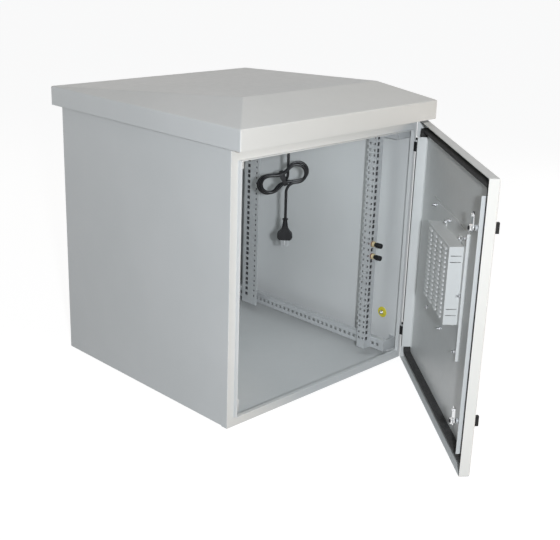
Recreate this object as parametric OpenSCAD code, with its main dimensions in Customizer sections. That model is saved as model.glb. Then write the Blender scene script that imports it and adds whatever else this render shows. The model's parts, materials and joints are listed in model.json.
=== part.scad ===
// Outdoor wall-mounted rack cabinet with a sloped rain roof and a swing door.
// Frame: +Z up, front towards -Y, origin at the centre of the base underside, millimetres.
// The door stands open at rest; its pieces are drawn closed and then swung about the hinge line.

/* [Cabinet body] */
// Outside width across the front frame
body_w = 600; // [570:1:700]
// Outside depth, front frame to back wall
body_d = 600; // [500:1:800]
// Height of the box, base to top panel
body_h = 640; // [600:1:760]
// Sheet thickness of the box
sheet_t = 1.5; // [1:0.1:2.5]
// Wall fixing holes: distance between them across the back
wall_hole_x = 400; // [200:1:500]
// Wall fixing holes: distance between them up the back
wall_hole_z = 450; // [200:1:520]
// Wall fixing holes: height of the lower pair above the base
wall_hole_base = 95; // [60:1:120]
// Wall fixing holes: diameter
wall_hole_d = 10; // [6:0.5:14]

/* [Front frame] */
// Width of the side stiles
stile_w = 22; // [18:0.5:30]
// Height of the bottom rail
bottom_rail_h = 25; // [18:0.5:36]
// Height of the top rail, below the top panel
top_rail_h = 48; // [40:1:60]
// Depth of the side returns that wrap the box
frame_wrap = 18; // [12:0.5:30]
// Thickness of the side returns
wrap_t = 1.2; // [0.8:0.1:2]
// Forward lip round the opening that presses on the seal
lip_h = 9; // [6:0.5:12]

/* [Rain roof] */
// Overhang past each side
roof_side = 15; // [8:0.5:30]
// Overhang past the front
roof_front = 42; // [38:0.5:70]
// Overhang past the back
roof_back = 19; // [8:0.5:30]
// How far the rim hangs below the top panel
roof_lap = 19; // [10:0.5:30]
// Height of the vertical rim
rim_h = 44; // [30:1:70]
// Rise of the ridge above the rim
ridge_rise = 40; // [15:1:80]
// Ridge line: distance in from the front rim
ridge_front_in = 105; // [60:1:160]
// Ridge line: distance in from each side rim
ridge_side_in = 101; // [60:1:160]
// Sheet thickness of the roof
roof_t = 1.5; // [1:0.1:2.5]
// Length of the two brackets under the roof
roof_bracket_w = 400; // [200:1:420]
// Flange width of the roof brackets
roof_bracket_f = 25; // [18:1:40]

/* [Door] */
// Gap between door edge and cabinet side
door_side_gap = 1; // [0.5:0.1:3]
// Gap between door and base level
door_base_gap = 0.8; // [0.5:0.1:5]
// Gap between door and roof rim
door_top_gap = 4.2; // [2:0.1:10]
// Gap between the door's rim and the front frame when shut
door_gap = 5; // [4:0.1:8]
// Depth of the folded rim
rim_d = 22; // [18:0.5:30]
// Sheet thickness of the door
door_t = 1.5; // [1:0.1:2]
// How far the door stands open at rest
door_rest = 50; // [0:1:110]
// Seal: distance from the door's edge to its near side
seal_in = 16; // [14:0.5:16.5]
// Seal: width
seal_w = 9; // [9:0.5:11]
// Seal: clearance to the frame's lip when shut
seal_clear = 0.3; // [0.2:0.1:1]
// Seal angles: upright height
angle_h = 24; // [12:0.5:24.5]
// Seal angles: width of the foot
angle_foot = 5; // [4:0.5:5.5]
// Seal angles: thickness
angle_t = 2; // [1:0.1:3]
// Seal angles: distance from the ends of the door
angle_end = 39; // [30:1:80]

/* [Hinges] */
// Hinge line: distance in from the cabinet side
pivot_in = 4; // [3.5:0.1:6]
// Hinge line: distance in front of the frame
pivot_front = 6; // [5.5:0.1:8]
// Height of a hinge block
block_h = 23; // [15:0.5:40]
// Diameter of a hinge block's barrel
block_d = 9; // [8:0.1:10]
// Diameter of a hinge pin
pin_d = 6; // [4:0.1:7]
// Radial running clearance of a hinge pin
pin_clear = 0.05; // [0.02:0.01:0.1]
// Thickness of a hinge ear on the door
ear_t = 5; // [3:0.1:8]
// Height of a hinge pin's head
pin_head_h = 5; // [3:0.1:8]
// Lower hinge block: height above the door's lower edge
hinge_low = 63; // [40:1:120]
// Upper hinge block: foot below the door's upper edge
hinge_high = 78; // [60:1:160]

/* [Locks] */
// Spindle: distance from the lock edge of the door
lock_in = 42; // [40:0.5:60]
// Spindle: distance from the upper and lower ends of the door
lock_end = 105; // [70:1:160]
// Diameter of the spindle
spindle_d = 8; // [6:0.1:9]
// Diameter of the barrel through the door
barrel_d = 12; // [11:0.1:13]
// Length of the barrel inside the door
barrel_l = 28; // [18:0.5:29]
// Reach of the cam from the spindle
cam_reach = 32; // [24:0.5:36]
// Width of the cam
cam_w = 14; // [10:0.5:18]
// Thickness of the cam
cam_t = 2.5; // [1.5:0.1:4]
// Clearance between cam and frame when shut
cam_clear = 3; // [1:0.1:6]
// Diameter of the knob
knob_d = 24; // [18:0.5:32]
// Height of the knob above the escutcheon
knob_h = 16; // [10:0.5:24]

/* [Door vent] */
// Vent plate: border beside the louvred box
vent_border_x = 52; // [48:1:64]
// Vent plate: border above and below the louvred box
vent_border_z = 53; // [50:1:64]
// Thickness of the vent plate
vent_t = 2.5; // [1.5:0.1:4]
// Folded lip along the vent plate's lock edge: height
vent_lip = 5; // [3:0.5:8]
// Height of the vent plate's centre above the door's lower edge
vent_z = 326; // [260:1:340]
// Inset of the stud rows from the plate's side edges
stud_in_x = 20; // [12:1:30]
// Inset of the stud rows from the plate's ends
stud_in_z = 14; // [10:1:24]
// Width of the louvred box
box_w = 196; // [160:1:200]
// Height of the louvred box
box_h = 172; // [140:1:190]
// Depth of the louvred box
box_d = 31; // [20:0.5:34]
// Sheet thickness of the louvred box
box_t = 1.2; // [0.8:0.1:2]
// Box: shift from the plate's centre towards the lock edge
box_shift = 24; // [18:1:26]
// Box: rise above the plate's centre
box_rise = 18; // [0:1:24]
// Box slots: columns
slot_cols = 4; // [2:1:5]
// Box slots: column pitch
slot_pitch_x = 42; // [36:1:42]
// Box slots: row pitch
slot_pitch_z = 10; // [8:0.5:14]
// Box slots: length
slot_l = 28; // [18:0.5:32]
// Box slots: height
slot_h = 4.5; // [3:0.1:6]
// Outer louvres: count
louvre_n = 9; // [4:1:10]
// Outer louvres: pitch
louvre_pitch = 15; // [14:0.5:16]
// Outer louvres: length
louvre_l = 150; // [100:1:160]
// Outer louvres: how far the hoods stand out
louvre_d = 7; // [4:0.5:10]

/* [Rack rails] */
// Distance from the cabinet's side to the clear width between the rack rails
rack_side = 75; // [70:0.5:110]
// Width and depth of a rail's channel
rail_w = 25; // [22:0.5:30]
// Sheet thickness of the rails
rail_t = 2; // [1.5:0.1:2.5]
// Front rails: distance behind the front of the frame
front_rail_in = 59; // [40:1:120]
// Rear rails: distance before the back of the cabinet
rear_rail_in = 82; // [60:1:140]
// Depth of the wide side of a rear rail
rear_rail_d = 58; // [50:1:70]
// Height of a depth rail
depth_rail_h = 30; // [26:0.5:36]
// Flange of a depth rail
depth_rail_f = 15; // [10:0.5:20]
// Depth rails: clearance at the front frame and the back wall
depth_rail_gap = 16; // [8:1:40]
// Lower depth rails: height above the base
rail_floor = 20; // [10:1:40]
// Upper depth rails: distance below the top panel
rail_ceiling = 42; // [40:1:60]
// Square hole for a cage nut
cage_hole = 9.5; // [9:0.1:10]
// Depth rails: square hole
grid_hole = 8; // [6:0.1:9]
// Depth rails: hole pitch
grid_pitch = 16; // [14:0.5:20]
// Diameter of the rail bolts
rail_bolt_d = 6; // [5:0.1:7]
// Terminal posts on the right front rail: diameter
post_d = 13; // [10:0.1:15]
// Terminal posts: length
post_l = 23; // [15:0.5:40]

/* [Fans] */
// Side of a fan housing
fan_size = 120; // [80:1:140]
// Depth of a fan housing
fan_d = 25; // [20:0.5:38]
// Distance of each fan from the middle
fan_x = 110; // [80:1:140]
// Distance of the fans behind the middle
fan_y = 90; // [80:1:150]
// Diameter of the air way through a fan
fan_bore = 114; // [70:1:116]
// Diameter of a fan's hub
fan_hub = 42; // [30:1:50]
// Diameter of a fan's shaft
fan_shaft = 5; // [3:0.1:8]

/* [Power lead] */
// Diameter of the lead
cord_d = 7; // [5:0.1:8]
// Hank: radius of the folds at the middle of the lead
fold_r = 22; // [21:0.5:26]
// Hank: length of the straight runs
run_l = 73; // [60:1:90]
// Hank: thickness across its turns
hank_t = 30; // [24:1:36]
// Hank: half height at the tie
waist = 16; // [14:0.5:20]
// Width of the tie
tie_w = 10; // [6:0.5:14]
// Thickness of the tie
tie_t = 2; // [1:0.1:3]
// Plug: width
plug_w = 38; // [30:1:44]
// Plug: thickness
plug_t = 24; // [18:1:30]
// Plug: height of the body
plug_h = 34; // [26:1:44]
// Plug: length of the tapered strain relief
relief_l = 20; // [20:1:40]

/* [Hidden] */
$fn = 48;

// Finishes
paint = "#cfd2d0";
paint_door = "#d6d8d5";
zinc = "#b9bdc0";
bright = "#d9dbdc";
rubber = "#1d1e1f";
black = "#161617";
yellow = "#e0c417";
cream = "#d8c79a";
red_brown = "#7a3a26";

// Small working sizes
eps = 0.01;
past = 1;
hole_clear = 0.3;
slide_gap = 0.3;

// Cabinet body
front_y = -body_d / 2;
back_y = body_d / 2;
shell_x = body_w / 2 - wrap_t;
wall_x = shell_x - sheet_t;
shell_front = front_y + sheet_t;
ceiling_z = body_h - sheet_t;
open_x = body_w / 2 - stile_w;
open_top = body_h - top_rail_h;
lip_y = front_y - lip_h;

// Roof: the front outline is swept back and the side outline is swept across
roof_z = body_h - roof_lap;
eave_z = roof_z + rim_h;
ridge_z = eave_z + ridge_rise;
roof_x = body_w / 2 + roof_side;
roof_y0 = front_y - roof_front;
roof_y1 = back_y + roof_back;
ridge_y = roof_y0 + ridge_front_in;
function roof_under(y) = ridge_z - roof_t - (y - ridge_y) * ridge_rise / (roof_y1 - roof_t - ridge_y);
function front_outline(t) = [[-roof_x + t, roof_z], [roof_x - t, roof_z], [roof_x - t, eave_z - t],
    [roof_x - ridge_side_in, ridge_z - t], [-roof_x + ridge_side_in, ridge_z - t], [-roof_x + t, eave_z - t]];
function side_outline(t) = [[roof_y0 + t, roof_z], [roof_y1 - t, roof_z], [roof_y1 - t, eave_z - t],
    [ridge_y, ridge_z - t], [roof_y0 + t, eave_z - t]];
bracket_behind_ridge = 90;
bracket_before_back = 60;
roof_bracket_y = [ridge_y + bracket_behind_ridge, back_y - bracket_before_back];
roof_bolt_d = 6;
roof_bolt_in = 30;
roof_bolt_x = roof_bracket_w / 2 - roof_bolt_in;
bolt_head_h = 4;
bolt_head_d = 10;
bolt_past_nut = 2;
screw_head_h = 2.5;
screw_head_d = 8;

// Door, in its closed place
door_w = body_w - 2 * door_side_gap;
door_x = door_w / 2;
door_z0 = door_base_gap;
door_z1 = roof_z - door_top_gap;
door_h = door_z1 - door_z0;
rim_y = front_y - door_gap;
skin_y = rim_y - rim_d;
inner_y = skin_y + door_t;
pivot = [body_w / 2 - pivot_in, front_y - pivot_front];
ear_swing = 8;
notch_y = pivot[1] - ear_swing;
block_z = [door_z0 + hinge_low, door_z1 - hinge_high];
pin_bore = pin_d / 2 + pin_clear;
block_half = block_d / 2;
block_shy = 0.1;
pin_short = 1;
leaf_t = 2;
leaf_w = 9;
lug_h = block_h + ear_t + pin_head_h + 2 * slide_gap;

// Locks, in the closed place
lock_x = -door_x + lock_in;
lock_z = [door_z0 + lock_end, door_z1 - lock_end];
cam_y = shell_front + cam_clear;
spindle_past = 7;
spindle_end = cam_y + cam_t + spindle_past;
nut_across = 13;
nut_h = 5;
plate_d = 28;
plate_h = 3;
barrel_nut = 16;
knob_base_h = knob_h * 0.4;
grip_w = knob_d / 3;
grip_l = knob_d - 2;
cam_hub_d = cam_w + 4;
cam_boss_d = 7;
cam_boss_h = 3;

// Door vent, in the closed place
vent_w = box_w + 2 * vent_border_x;
vent_h = box_h + 2 * vent_border_z;
vent_mid = door_z0 + vent_z;
vent_y = inner_y + vent_t;
box_mid = [-box_shift, vent_mid + box_rise];
slot_margin = 8;
slot_rows = floor((box_h - slot_margin) / slot_pitch_z);
stud_x = vent_w / 2 - stud_in_x;
stud_z = vent_h / 2 - stud_in_z;
stud_d = 5;
stud_l = 12;
tab_w = 16;
tab_h = 14;
tab_in = 38;
tab_x = box_w / 2 - tab_in;
side_slits = [-0.38, -0.3, 0.3, 0.38];
slit_in = 4;
slit_h = 1.6;
vent_cut_in = [20, 15];
vent_cut = [box_w, box_h] - 2 * vent_cut_in;
louvre_slot = louvre_pitch - 9;
louvre_rise = louvre_pitch - 5;
filter_gap = 2;
filter_t = box_d / 2;

// Rails
rack_w = body_w - 2 * rack_side;
web_x = rack_w / 2 + rail_w;
grid_y0 = front_y + depth_rail_gap;
grid_y1 = back_y - depth_rail_gap;
grid_n = floor((grid_y1 - grid_y0 - 2 * grid_pitch) / grid_pitch) + 1;
grid_first = -(grid_n - 1) * grid_pitch / 2;
rail_short = 2;
rail_z0 = rail_floor + rail_short;
rail_z1 = body_h - rail_ceiling - rail_short;
depth_z = [rail_floor + depth_rail_h / 2, body_h - rail_ceiling - depth_rail_h / 2];
front_rail_y = front_y + front_rail_in;
rear_rail_y = back_y - rear_rail_in;
unit = 44.45;
unit_holes = [6.35, 22.225, 38.1];
rail_ends = 20;
units = floor((rail_z1 - rail_z0 - rail_ends) / unit);
first_unit = (rail_z0 + rail_z1 - units * unit) / 2;
column_in = 7.55;
hole_x = rack_w / 2 + column_in;
side_hole = 6;
front_side_in = [6.5, 18.5];
rear_side_in = [18, 47];
foot_l = 20;
post_unit = 5;
post_z = [for (h = [unit_holes[0], unit_holes[2]]) first_unit + post_unit * unit + h];
collar_t = 6;
collar_d = post_d + 2;
tail_l = 9;
function grid_near(y) = grid_first + grid_pitch * round((y - grid_first) / grid_pitch);
bolt_y = [grid_near(front_rail_y + rail_w / 2), grid_near(rear_rail_y - rail_w / 2)];

// Earth point on the right wall
earth = [wall_x, -236, 104];
earth_d = 28;
earth_t = 1;
earth_stud_d = 6;
earth_stud_l = 9;

// Fans under the top panel
fan_z = ceiling_z - fan_d;
spider_t = 4;
strut_w = 6;
guard_t = 1.5;
guard_wire = 1.5;
guard_first = 16;
guard_pitch = 13;
guard_eye_d = 10;
fan_hole_in = 7.5;
fan_hole = fan_size / 2 - fan_hole_in;
fan_screw_d = 4;
rotor_gap = 1;
rotor_tip = 2;
blades = 7;
blade_pitch = 35;
blade_w = 28;
blade_t = 1.6;

// Power lead: route points chosen by hand, counted from where the lead leaves its gland
cord_r = cord_d / 2;
cord_drop = 34;
cord_exit = [130, -40, body_h - cord_drop];
gland_d = 22;
gland_h = 6;
relief_end_d = cord_d + 2;
relief_root_d = cord_d + 8;
lead_steps = [[0, 0, 0], [0, 0, -16], [0, 0, -32], [0, 0, -48], [0, 0, -64], [0, 0, -80], [0, 0, -96],
    [0, 0, -112], [0, 0, -126], [0, 0, -140]];
tail_steps = [[-4, -26, -163], [-6, -24, -171], [-7, -23, -180], [-9, -21, -192], [-11, -18, -205],
    [-12, -15, -219], [-14, -13, -233], [-15, -11, -246], [-15, -11, -260]];
lead_route = [for (p = lead_steps) cord_exit + p];
tail_route = [for (p = tail_steps) cord_exit + p];
hank_mid = cord_exit + [-15, 0, -158];
hank_turn = -45;
hank_tilt = 25;
waist_half = 7;
fold_out = fold_r + cord_r;
plug_top = tail_route[len(tail_route) - 1];
plug_neck = 16;
plug_taper = plug_h * 0.65;
blade_l = 17;
blade_size = [6.3, 1.6];
blade_out = 7;
blade_back = 3;
blade_turn = 30;

// A flat outline (y, z) becomes a sheet of thickness t towards +X
module sheet_x(t) {
    rotate([90, 0, 90]) linear_extrude(t) children();
}

// A flat outline (x, z) becomes a sheet of thickness t towards +Y
module sheet_y(t) {
    translate([0, t, 0]) rotate([90, 0, 0]) linear_extrude(t) children();
}

module rect(a0, a1, b0, b1) {
    translate([a0, b0]) square([a1 - a0, b1 - b0]);
}

// A round bar along +Y
module bar_y(r, l) {
    rotate([-90, 0, 0]) cylinder(r = r, h = l);
}

// A round bar along +X
module bar_x(r, l) {
    rotate([0, 90, 0]) cylinder(r = r, h = l);
}

module hex(across) {
    circle(d = across / cos(30), $fn = 6);
}

// Swings closed door pieces to their rest place
module on_door() {
    translate([pivot[0], pivot[1], 0]) rotate([0, 0, door_rest])
        translate([-pivot[0], -pivot[1], 0]) children();
}

module both_sides(side) {
    if (side > 0) children();
    else mirror([1, 0, 0]) children();
}

// One tube swept along a list of points, with rings square to the route
function unit_of(v) = v / norm(v);
function along(p, i) = unit_of(p[min(i + 1, len(p) - 1)] - p[max(i - 1, 0)]);
function ring(p, i, r, n) =
    let (d = along(p, i), u = unit_of(cross(d, [1, 0, 0])), v = cross(d, u))
    [for (k = [0:n - 1]) p[i] + r * (cos(360 * k / n) * u + sin(360 * k / n) * v)];
module tube(p, r, n = 10) {
    last = len(p) - 1;
    sides = [for (i = [0:last - 1], k = [0:n - 1])
        [i * n + k, i * n + (k + 1) % n, (i + 1) * n + (k + 1) % n, (i + 1) * n + k]];
    polyhedron(points = [for (i = [0:last]) each ring(p, i, r, n)],
        faces = concat([[for (k = [n - 1:-1:0]) k]], [[for (k = [0:n - 1]) last * n + k]], sides));
}

module body_shell() {
    color(paint) difference() {
        translate([-shell_x, shell_front, 0]) cube([2 * shell_x, back_y - shell_front, body_h]);
        translate([-wall_x, shell_front - past, sheet_t])
            cube([2 * wall_x, back_y - sheet_t - shell_front + past, ceiling_z - sheet_t]);
        for (x = [-1, 1], z = [0, wall_hole_z])
            translate([x * wall_hole_x / 2, back_y - sheet_t - past, wall_hole_base + z])
                bar_y(wall_hole_d / 2, sheet_t + 2 * past);
        for (x = [-1, 1])
            translate([x * fan_x, fan_y, ceiling_z - past]) cylinder(d = fan_bore, h = sheet_t + 2 * past);
        for (x = [-1, 1], y = roof_bracket_y)
            translate([x * roof_bolt_x, y + roof_bracket_f / 2, ceiling_z - past])
                cylinder(d = roof_bolt_d + 2 * hole_clear, h = sheet_t + 2 * past);
    }
}

module front_frame() {
    color(paint) {
        translate([0, front_y, 0]) sheet_y(sheet_t) difference() {
            rect(-body_w / 2, body_w / 2, 0, body_h);
            rect(-open_x, open_x, bottom_rail_h, open_top);
        }
        translate([0, lip_y, 0]) sheet_y(lip_h) difference() {
            rect(-open_x - sheet_t, open_x + sheet_t, bottom_rail_h - sheet_t, open_top + sheet_t);
            rect(-open_x, open_x, bottom_rail_h, open_top);
        }
        for (x = [-body_w / 2, body_w / 2 - wrap_t])
            translate([x, front_y, 0]) cube([wrap_t, frame_wrap, body_h]);
    }
}

module roof_block(t, drop) {
    intersection() {
        translate([0, roof_y0 + t, 0]) sheet_y(roof_y1 - roof_y0 - 2 * t) polygon(front_outline(t));
        translate([-roof_x, 0, 0]) sheet_x(2 * roof_x) polygon(side_outline(t));
    }
    if (drop > 0)
        translate([-roof_x + t, roof_y0 + t, roof_z - drop])
            cube([2 * roof_x - 2 * t, roof_y1 - roof_y0 - 2 * t, 2 * drop]);
}

module rain_roof() {
    color(paint) difference() {
        roof_block(0, 0);
        roof_block(roof_t, past);
    }
}

module roof_bracket(y) {
    f = roof_bracket_f;
    t = roof_t;
    difference() {
        translate([-roof_bracket_w / 2, 0, 0]) sheet_x(roof_bracket_w) polygon([[y, body_h],
            [y + f, body_h], [y + f, body_h + t], [y + t, body_h + t], [y + t, roof_under(y + t)],
            [y - f, roof_under(y - f)], [y - f, roof_under(y - f) - t], [y, roof_under(y) - t]]);
        for (x = [-1, 1])
            translate([x * roof_bolt_x, y + f / 2, body_h - past])
                cylinder(d = roof_bolt_d + 2 * hole_clear, h = t + 2 * past);
    }
}

module roof_brackets() {
    color(zinc) for (y = roof_bracket_y) roof_bracket(y);
}

// A bolt along +Z: head below the given level, nut above the clamped sheets
module bolt(d, grip) {
    translate([0, 0, -bolt_head_h]) cylinder(d = bolt_head_d, h = bolt_head_h);
    cylinder(d = d, h = grip + nut_h + bolt_past_nut);
    translate([0, 0, grip]) linear_extrude(nut_h) hex(bolt_head_d);
}

module roof_bolts() {
    color(bright) for (x = [-1, 1], y = roof_bracket_y)
        translate([x * roof_bolt_x, y + roof_bracket_f / 2, ceiling_z]) bolt(roof_bolt_d, sheet_t + roof_t);
}

// Drawn for the right side
module depth_rail(z) {
    half = depth_rail_h / 2;
    translate([web_x, 0, z]) {
        sheet_x(rail_t) difference() {
            rect(grid_y0, grid_y1, -half, half);
            for (i = [0:grid_n - 1])
                translate([grid_first + i * grid_pitch, 0]) square(grid_hole, center = true);
        }
        for (h = [-half, half - rail_t])
            translate([0, grid_y0, h]) cube([depth_rail_f, grid_y1 - grid_y0, rail_t]);
        for (y = [grid_y0, grid_y1 - rail_t])
            translate([0, y, -half]) cube([wall_x - web_x, rail_t, depth_rail_h]);
        for (y = [grid_y0, grid_y1 - foot_l])
            translate([wall_x - web_x - rail_t, y, -half]) cube([rail_t, foot_l, depth_rail_h]);
    }
}

module rail_bolt_hole(y) {
    for (z = depth_z)
        translate([y, z]) circle(d = rail_bolt_d + 2 * hole_clear);
}

// Square holes of the rack standard, three to a unit
module unit_column(a, size) {
    for (u = [0:units - 1], h = unit_holes)
        translate([a, first_unit + u * unit + h]) square(size, center = true);
}

// Drawn for the right side, open to the rear
module front_rail() {
    y0 = front_rail_y;
    translate([rack_w / 2, 0, 0]) sheet_x(rail_t) difference() {
        rect(y0, y0 + rail_w, rail_z0, rail_z1);
        for (a = front_side_in)
            unit_column(y0 + a, side_hole);
    }
    translate([0, y0, 0]) sheet_y(rail_t) difference() {
        rect(rack_w / 2, web_x, rail_z0, rail_z1);
        unit_column(hole_x, cage_hole);
    }
    translate([web_x - rail_t, 0, 0]) sheet_x(rail_t) difference() {
        rect(y0, y0 + rail_w, rail_z0, rail_z1);
        rail_bolt_hole(bolt_y[0]);
    }
}

// Drawn for the right side, open to the front
module rear_rail() {
    y1 = rear_rail_y;
    translate([rack_w / 2, 0, 0]) sheet_x(rail_t) difference() {
        rect(y1 - rear_rail_d, y1, rail_z0, rail_z1);
        unit_column(y1 - rear_side_in[0], cage_hole);
        unit_column(y1 - rear_side_in[1], side_hole);
    }
    translate([0, y1 - rail_t, 0]) sheet_y(rail_t) rect(rack_w / 2, web_x, rail_z0, rail_z1);
    translate([web_x - rail_t, 0, 0]) sheet_x(rail_t) difference() {
        rect(y1 - rail_w, y1, rail_z0, rail_z1);
        rail_bolt_hole(bolt_y[1]);
    }
}

module rail_bolts() {
    color(bright) for (side = [-1, 1], y = bolt_y, z = depth_z)
        both_sides(side) translate([web_x - rail_t, y, z]) rotate([0, 90, 0]) bolt(rail_bolt_d, 2 * rail_t);
}

module at_posts(y) {
    for (z = post_z)
        translate([hole_x, y, z]) children();
}

module terminal_posts() {
    color(black) at_posts(front_rail_y - collar_t - post_l) bar_y(post_d / 2, post_l);
}

module terminal_collars() {
    color(cream) at_posts(front_rail_y - collar_t) bar_y(collar_d / 2, collar_t);
}

module terminal_tails() {
    color(red_brown) at_posts(front_rail_y) bar_y(cage_hole / 2 - hole_clear, tail_l);
}

module earth_disc() {
    color(yellow) translate(earth) rotate([0, -90, 0]) difference() {
        cylinder(d = earth_d, h = earth_t);
        translate([0, 0, -past]) cylinder(d = earth_stud_d + 2 * hole_clear, h = earth_t + 2 * past);
    }
}

module earth_stud() {
    color(bright) translate(earth) rotate([0, -90, 0]) {
        cylinder(d = earth_stud_d, h = earth_stud_l);
        translate([0, 0, earth_t]) linear_extrude(nut_h - earth_t) hex(bolt_head_d);
    }
}

module fan_corners() {
    for (x = [-1, 1], y = [-1, 1])
        translate([x * fan_hole, y * fan_hole]) children();
}

module fan_housing() {
    difference() {
        translate([-fan_size / 2, -fan_size / 2, 0]) cube([fan_size, fan_size, fan_d]);
        translate([0, 0, -past]) cylinder(d = fan_bore, h = fan_d + 2 * past);
        translate([0, 0, -past]) fan_corners()
            cylinder(d = fan_screw_d + 2 * hole_clear, h = fan_d + 2 * past);
    }
    linear_extrude(spider_t) difference() {
        union() {
            circle(d = fan_hub);
            for (a = [45:90:315])
                rotate(a) rect(0, fan_bore / 2 + past, -strut_w / 2, strut_w / 2);
        }
        circle(r = fan_shaft / 2 + pin_clear);
    }
}

module fan_rotor() {
    g = rotor_gap;
    tall = fan_d - spider_t - 3 * g;
    translate([0, 0, g]) cylinder(d = fan_shaft, h = spider_t + g);
    translate([0, 0, spider_t + slide_gap]) cylinder(r = fan_hub / 2 - g, h = tall + g);
    intersection() {
        translate([0, 0, spider_t + g]) cylinder(r = fan_bore / 2 - rotor_tip, h = tall - g);
        for (i = [0:blades - 1])
            rotate(i * 360 / blades) translate([fan_hub / 4, 0, spider_t + (tall + g) / 2])
                rotate([blade_pitch, 0, 0]) translate([0, -blade_w / 2, -blade_t / 2])
                    cube([fan_bore, blade_w, blade_t]);
    }
}

module fan_guard() {
    reach = norm([fan_hole, fan_hole]) - guard_eye_d / 4;
    translate([0, 0, -guard_t]) linear_extrude(guard_t) {
        for (r = [guard_first:guard_pitch:fan_bore / 2]) difference() {
            circle(r = r + guard_wire);
            circle(r = r);
        }
        for (a = [45:90:315])
            rotate(a) rect(guard_first, reach, -guard_wire, guard_wire);
        fan_corners() difference() {
            circle(d = guard_eye_d);
            circle(d = fan_screw_d + 2 * hole_clear);
        }
    }
}

module at_fan(side) {
    translate([side * fan_x, fan_y, fan_z]) children();
}

module fan_screws() {
    color(bright) for (side = [-1, 1])
        at_fan(side) translate([0, 0, -guard_t]) fan_corners() {
            translate([0, 0, -screw_head_h]) cylinder(d = screw_head_d, h = screw_head_h);
            cylinder(d = fan_screw_d, h = fan_d);
        }
}

module cord_gland() {
    taper = ceiling_z - gland_h - cord_exit[2];
    color(black) translate(cord_exit) {
        translate([0, 0, taper]) cylinder(d = gland_d, h = gland_h);
        cylinder(d1 = relief_end_d, d2 = relief_root_d, h = taper);
    }
}

module cord_lead() {
    color(rubber) tube(lead_route, cord_r);
}

module cord_tail() {
    color(rubber) tube(tail_route, cord_r);
}

module at_hank() {
    translate(hank_mid) rotate([0, 0, hank_turn]) rotate([0, -hank_tilt, 0]) children();
}

module cord_hank() {
    half = run_l / 2;
    color(rubber) at_hank() translate([0, -hank_t / 2, 0]) sheet_y(hank_t) {
        for (x = [-half, half])
            translate([x, 0]) circle(r = fold_out);
        polygon([[-half, -fold_out], [-waist_half, -waist], [waist_half, -waist], [half, -fold_out],
            [half, fold_out], [waist_half, waist], [-waist_half, waist], [-half, fold_out]]);
    }
}

module cord_tie() {
    color(black) at_hank() translate([-tie_w / 2, 0, 0]) sheet_x(tie_w) difference() {
        rect(-hank_t / 2 - tie_t, hank_t / 2 + tie_t, -waist - tie_t, waist + tie_t);
        rect(-hank_t / 2, hank_t / 2, -waist, waist);
    }
}

// Plug frame: origin at the lead's end, body hanging below it, face turned like the hank
module at_plug() {
    translate(plug_top) rotate([0, 0, hank_turn]) children();
}

module plug_body() {
    half = plug_w / 2;
    neck = plug_neck / 2;
    color(black) at_plug() {
        translate([0, 0, -relief_l]) cylinder(d1 = relief_root_d, d2 = relief_end_d, h = relief_l);
        translate([0, -plug_t / 2, -relief_l]) sheet_y(plug_t) polygon([[-neck, 0], [-half, -plug_taper],
            [-half, -plug_h], [half, -plug_h], [half, -plug_taper], [neck, 0]]);
    }
}

module plug_blade() {
    linear_extrude(blade_l) square(blade_size, center = true);
}

module plug_pins() {
    color(bright) at_plug() translate([0, 0, -relief_l - plug_h - blade_l]) {
        for (s = [-1, 1])
            translate([s * blade_out, -blade_back, 0]) rotate(s * blade_turn) plug_blade();
        translate([0, blade_out, 0]) rotate(90) plug_blade();
    }
}

// Fixed half of a hinge: barrel with a foot on the stile
module hinge_block(i) {
    color(black) translate([pivot[0], pivot[1], block_z[i]]) difference() {
        union() {
            cylinder(d = block_d, h = block_h);
            translate([-block_half, 0, 0]) cube([block_half + pivot_in - block_shy, pivot_front, block_h]);
        }
        translate([0, 0, -past]) cylinder(r = pin_bore, h = block_h + 2 * past);
    }
}

// Door half of a hinge: an ear over the block with a leaf on the rim
module hinge_ear(i) {
    leaf_x = door_x - door_t - pivot[0];
    leaf_y = inner_y + leaf_t - pivot[1];
    color(paint_door) on_door() translate([pivot[0], pivot[1], block_z[i] + block_h + slide_gap]) {
        linear_extrude(ear_t) difference() {
            union() {
                circle(d = block_d);
                rect(-block_half, leaf_x, leaf_y, 0);
            }
            circle(r = pin_bore);
        }
        translate([leaf_x - leaf_t, leaf_y, -block_h]) cube([leaf_t, leaf_w, block_h + ear_t]);
    }
}

module hinge_pin(i) {
    color(black) on_door() translate([pivot[0], pivot[1], block_z[i]]) {
        translate([0, 0, pin_short]) cylinder(d = pin_d, h = block_h + slide_gap + ear_t);
        translate([0, 0, block_h + slide_gap + ear_t]) cylinder(d = block_d - pin_short, h = pin_head_h);
    }
}

module louvre(z) {
    rise = louvre_rise;
    half = louvre_l / 2;
    hood = [[inner_y, z + rise], [skin_y - louvre_d, z], [skin_y - louvre_d + door_t, z],
        [inner_y, z + rise - 2 * door_t]];
    cheek = [[inner_y, z + rise], [skin_y - louvre_d, z], [inner_y, z]];
    translate([box_mid[0] - half, 0, 0]) sheet_x(louvre_l) polygon(hood);
    for (x = [-half, half - door_t])
        translate([box_mid[0] + x, 0, 0]) sheet_x(door_t) polygon(cheek);
}

function louvre_z(i) = box_mid[1] + (i - (louvre_n - 1) / 2) * louvre_pitch - louvre_pitch / 2;

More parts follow.
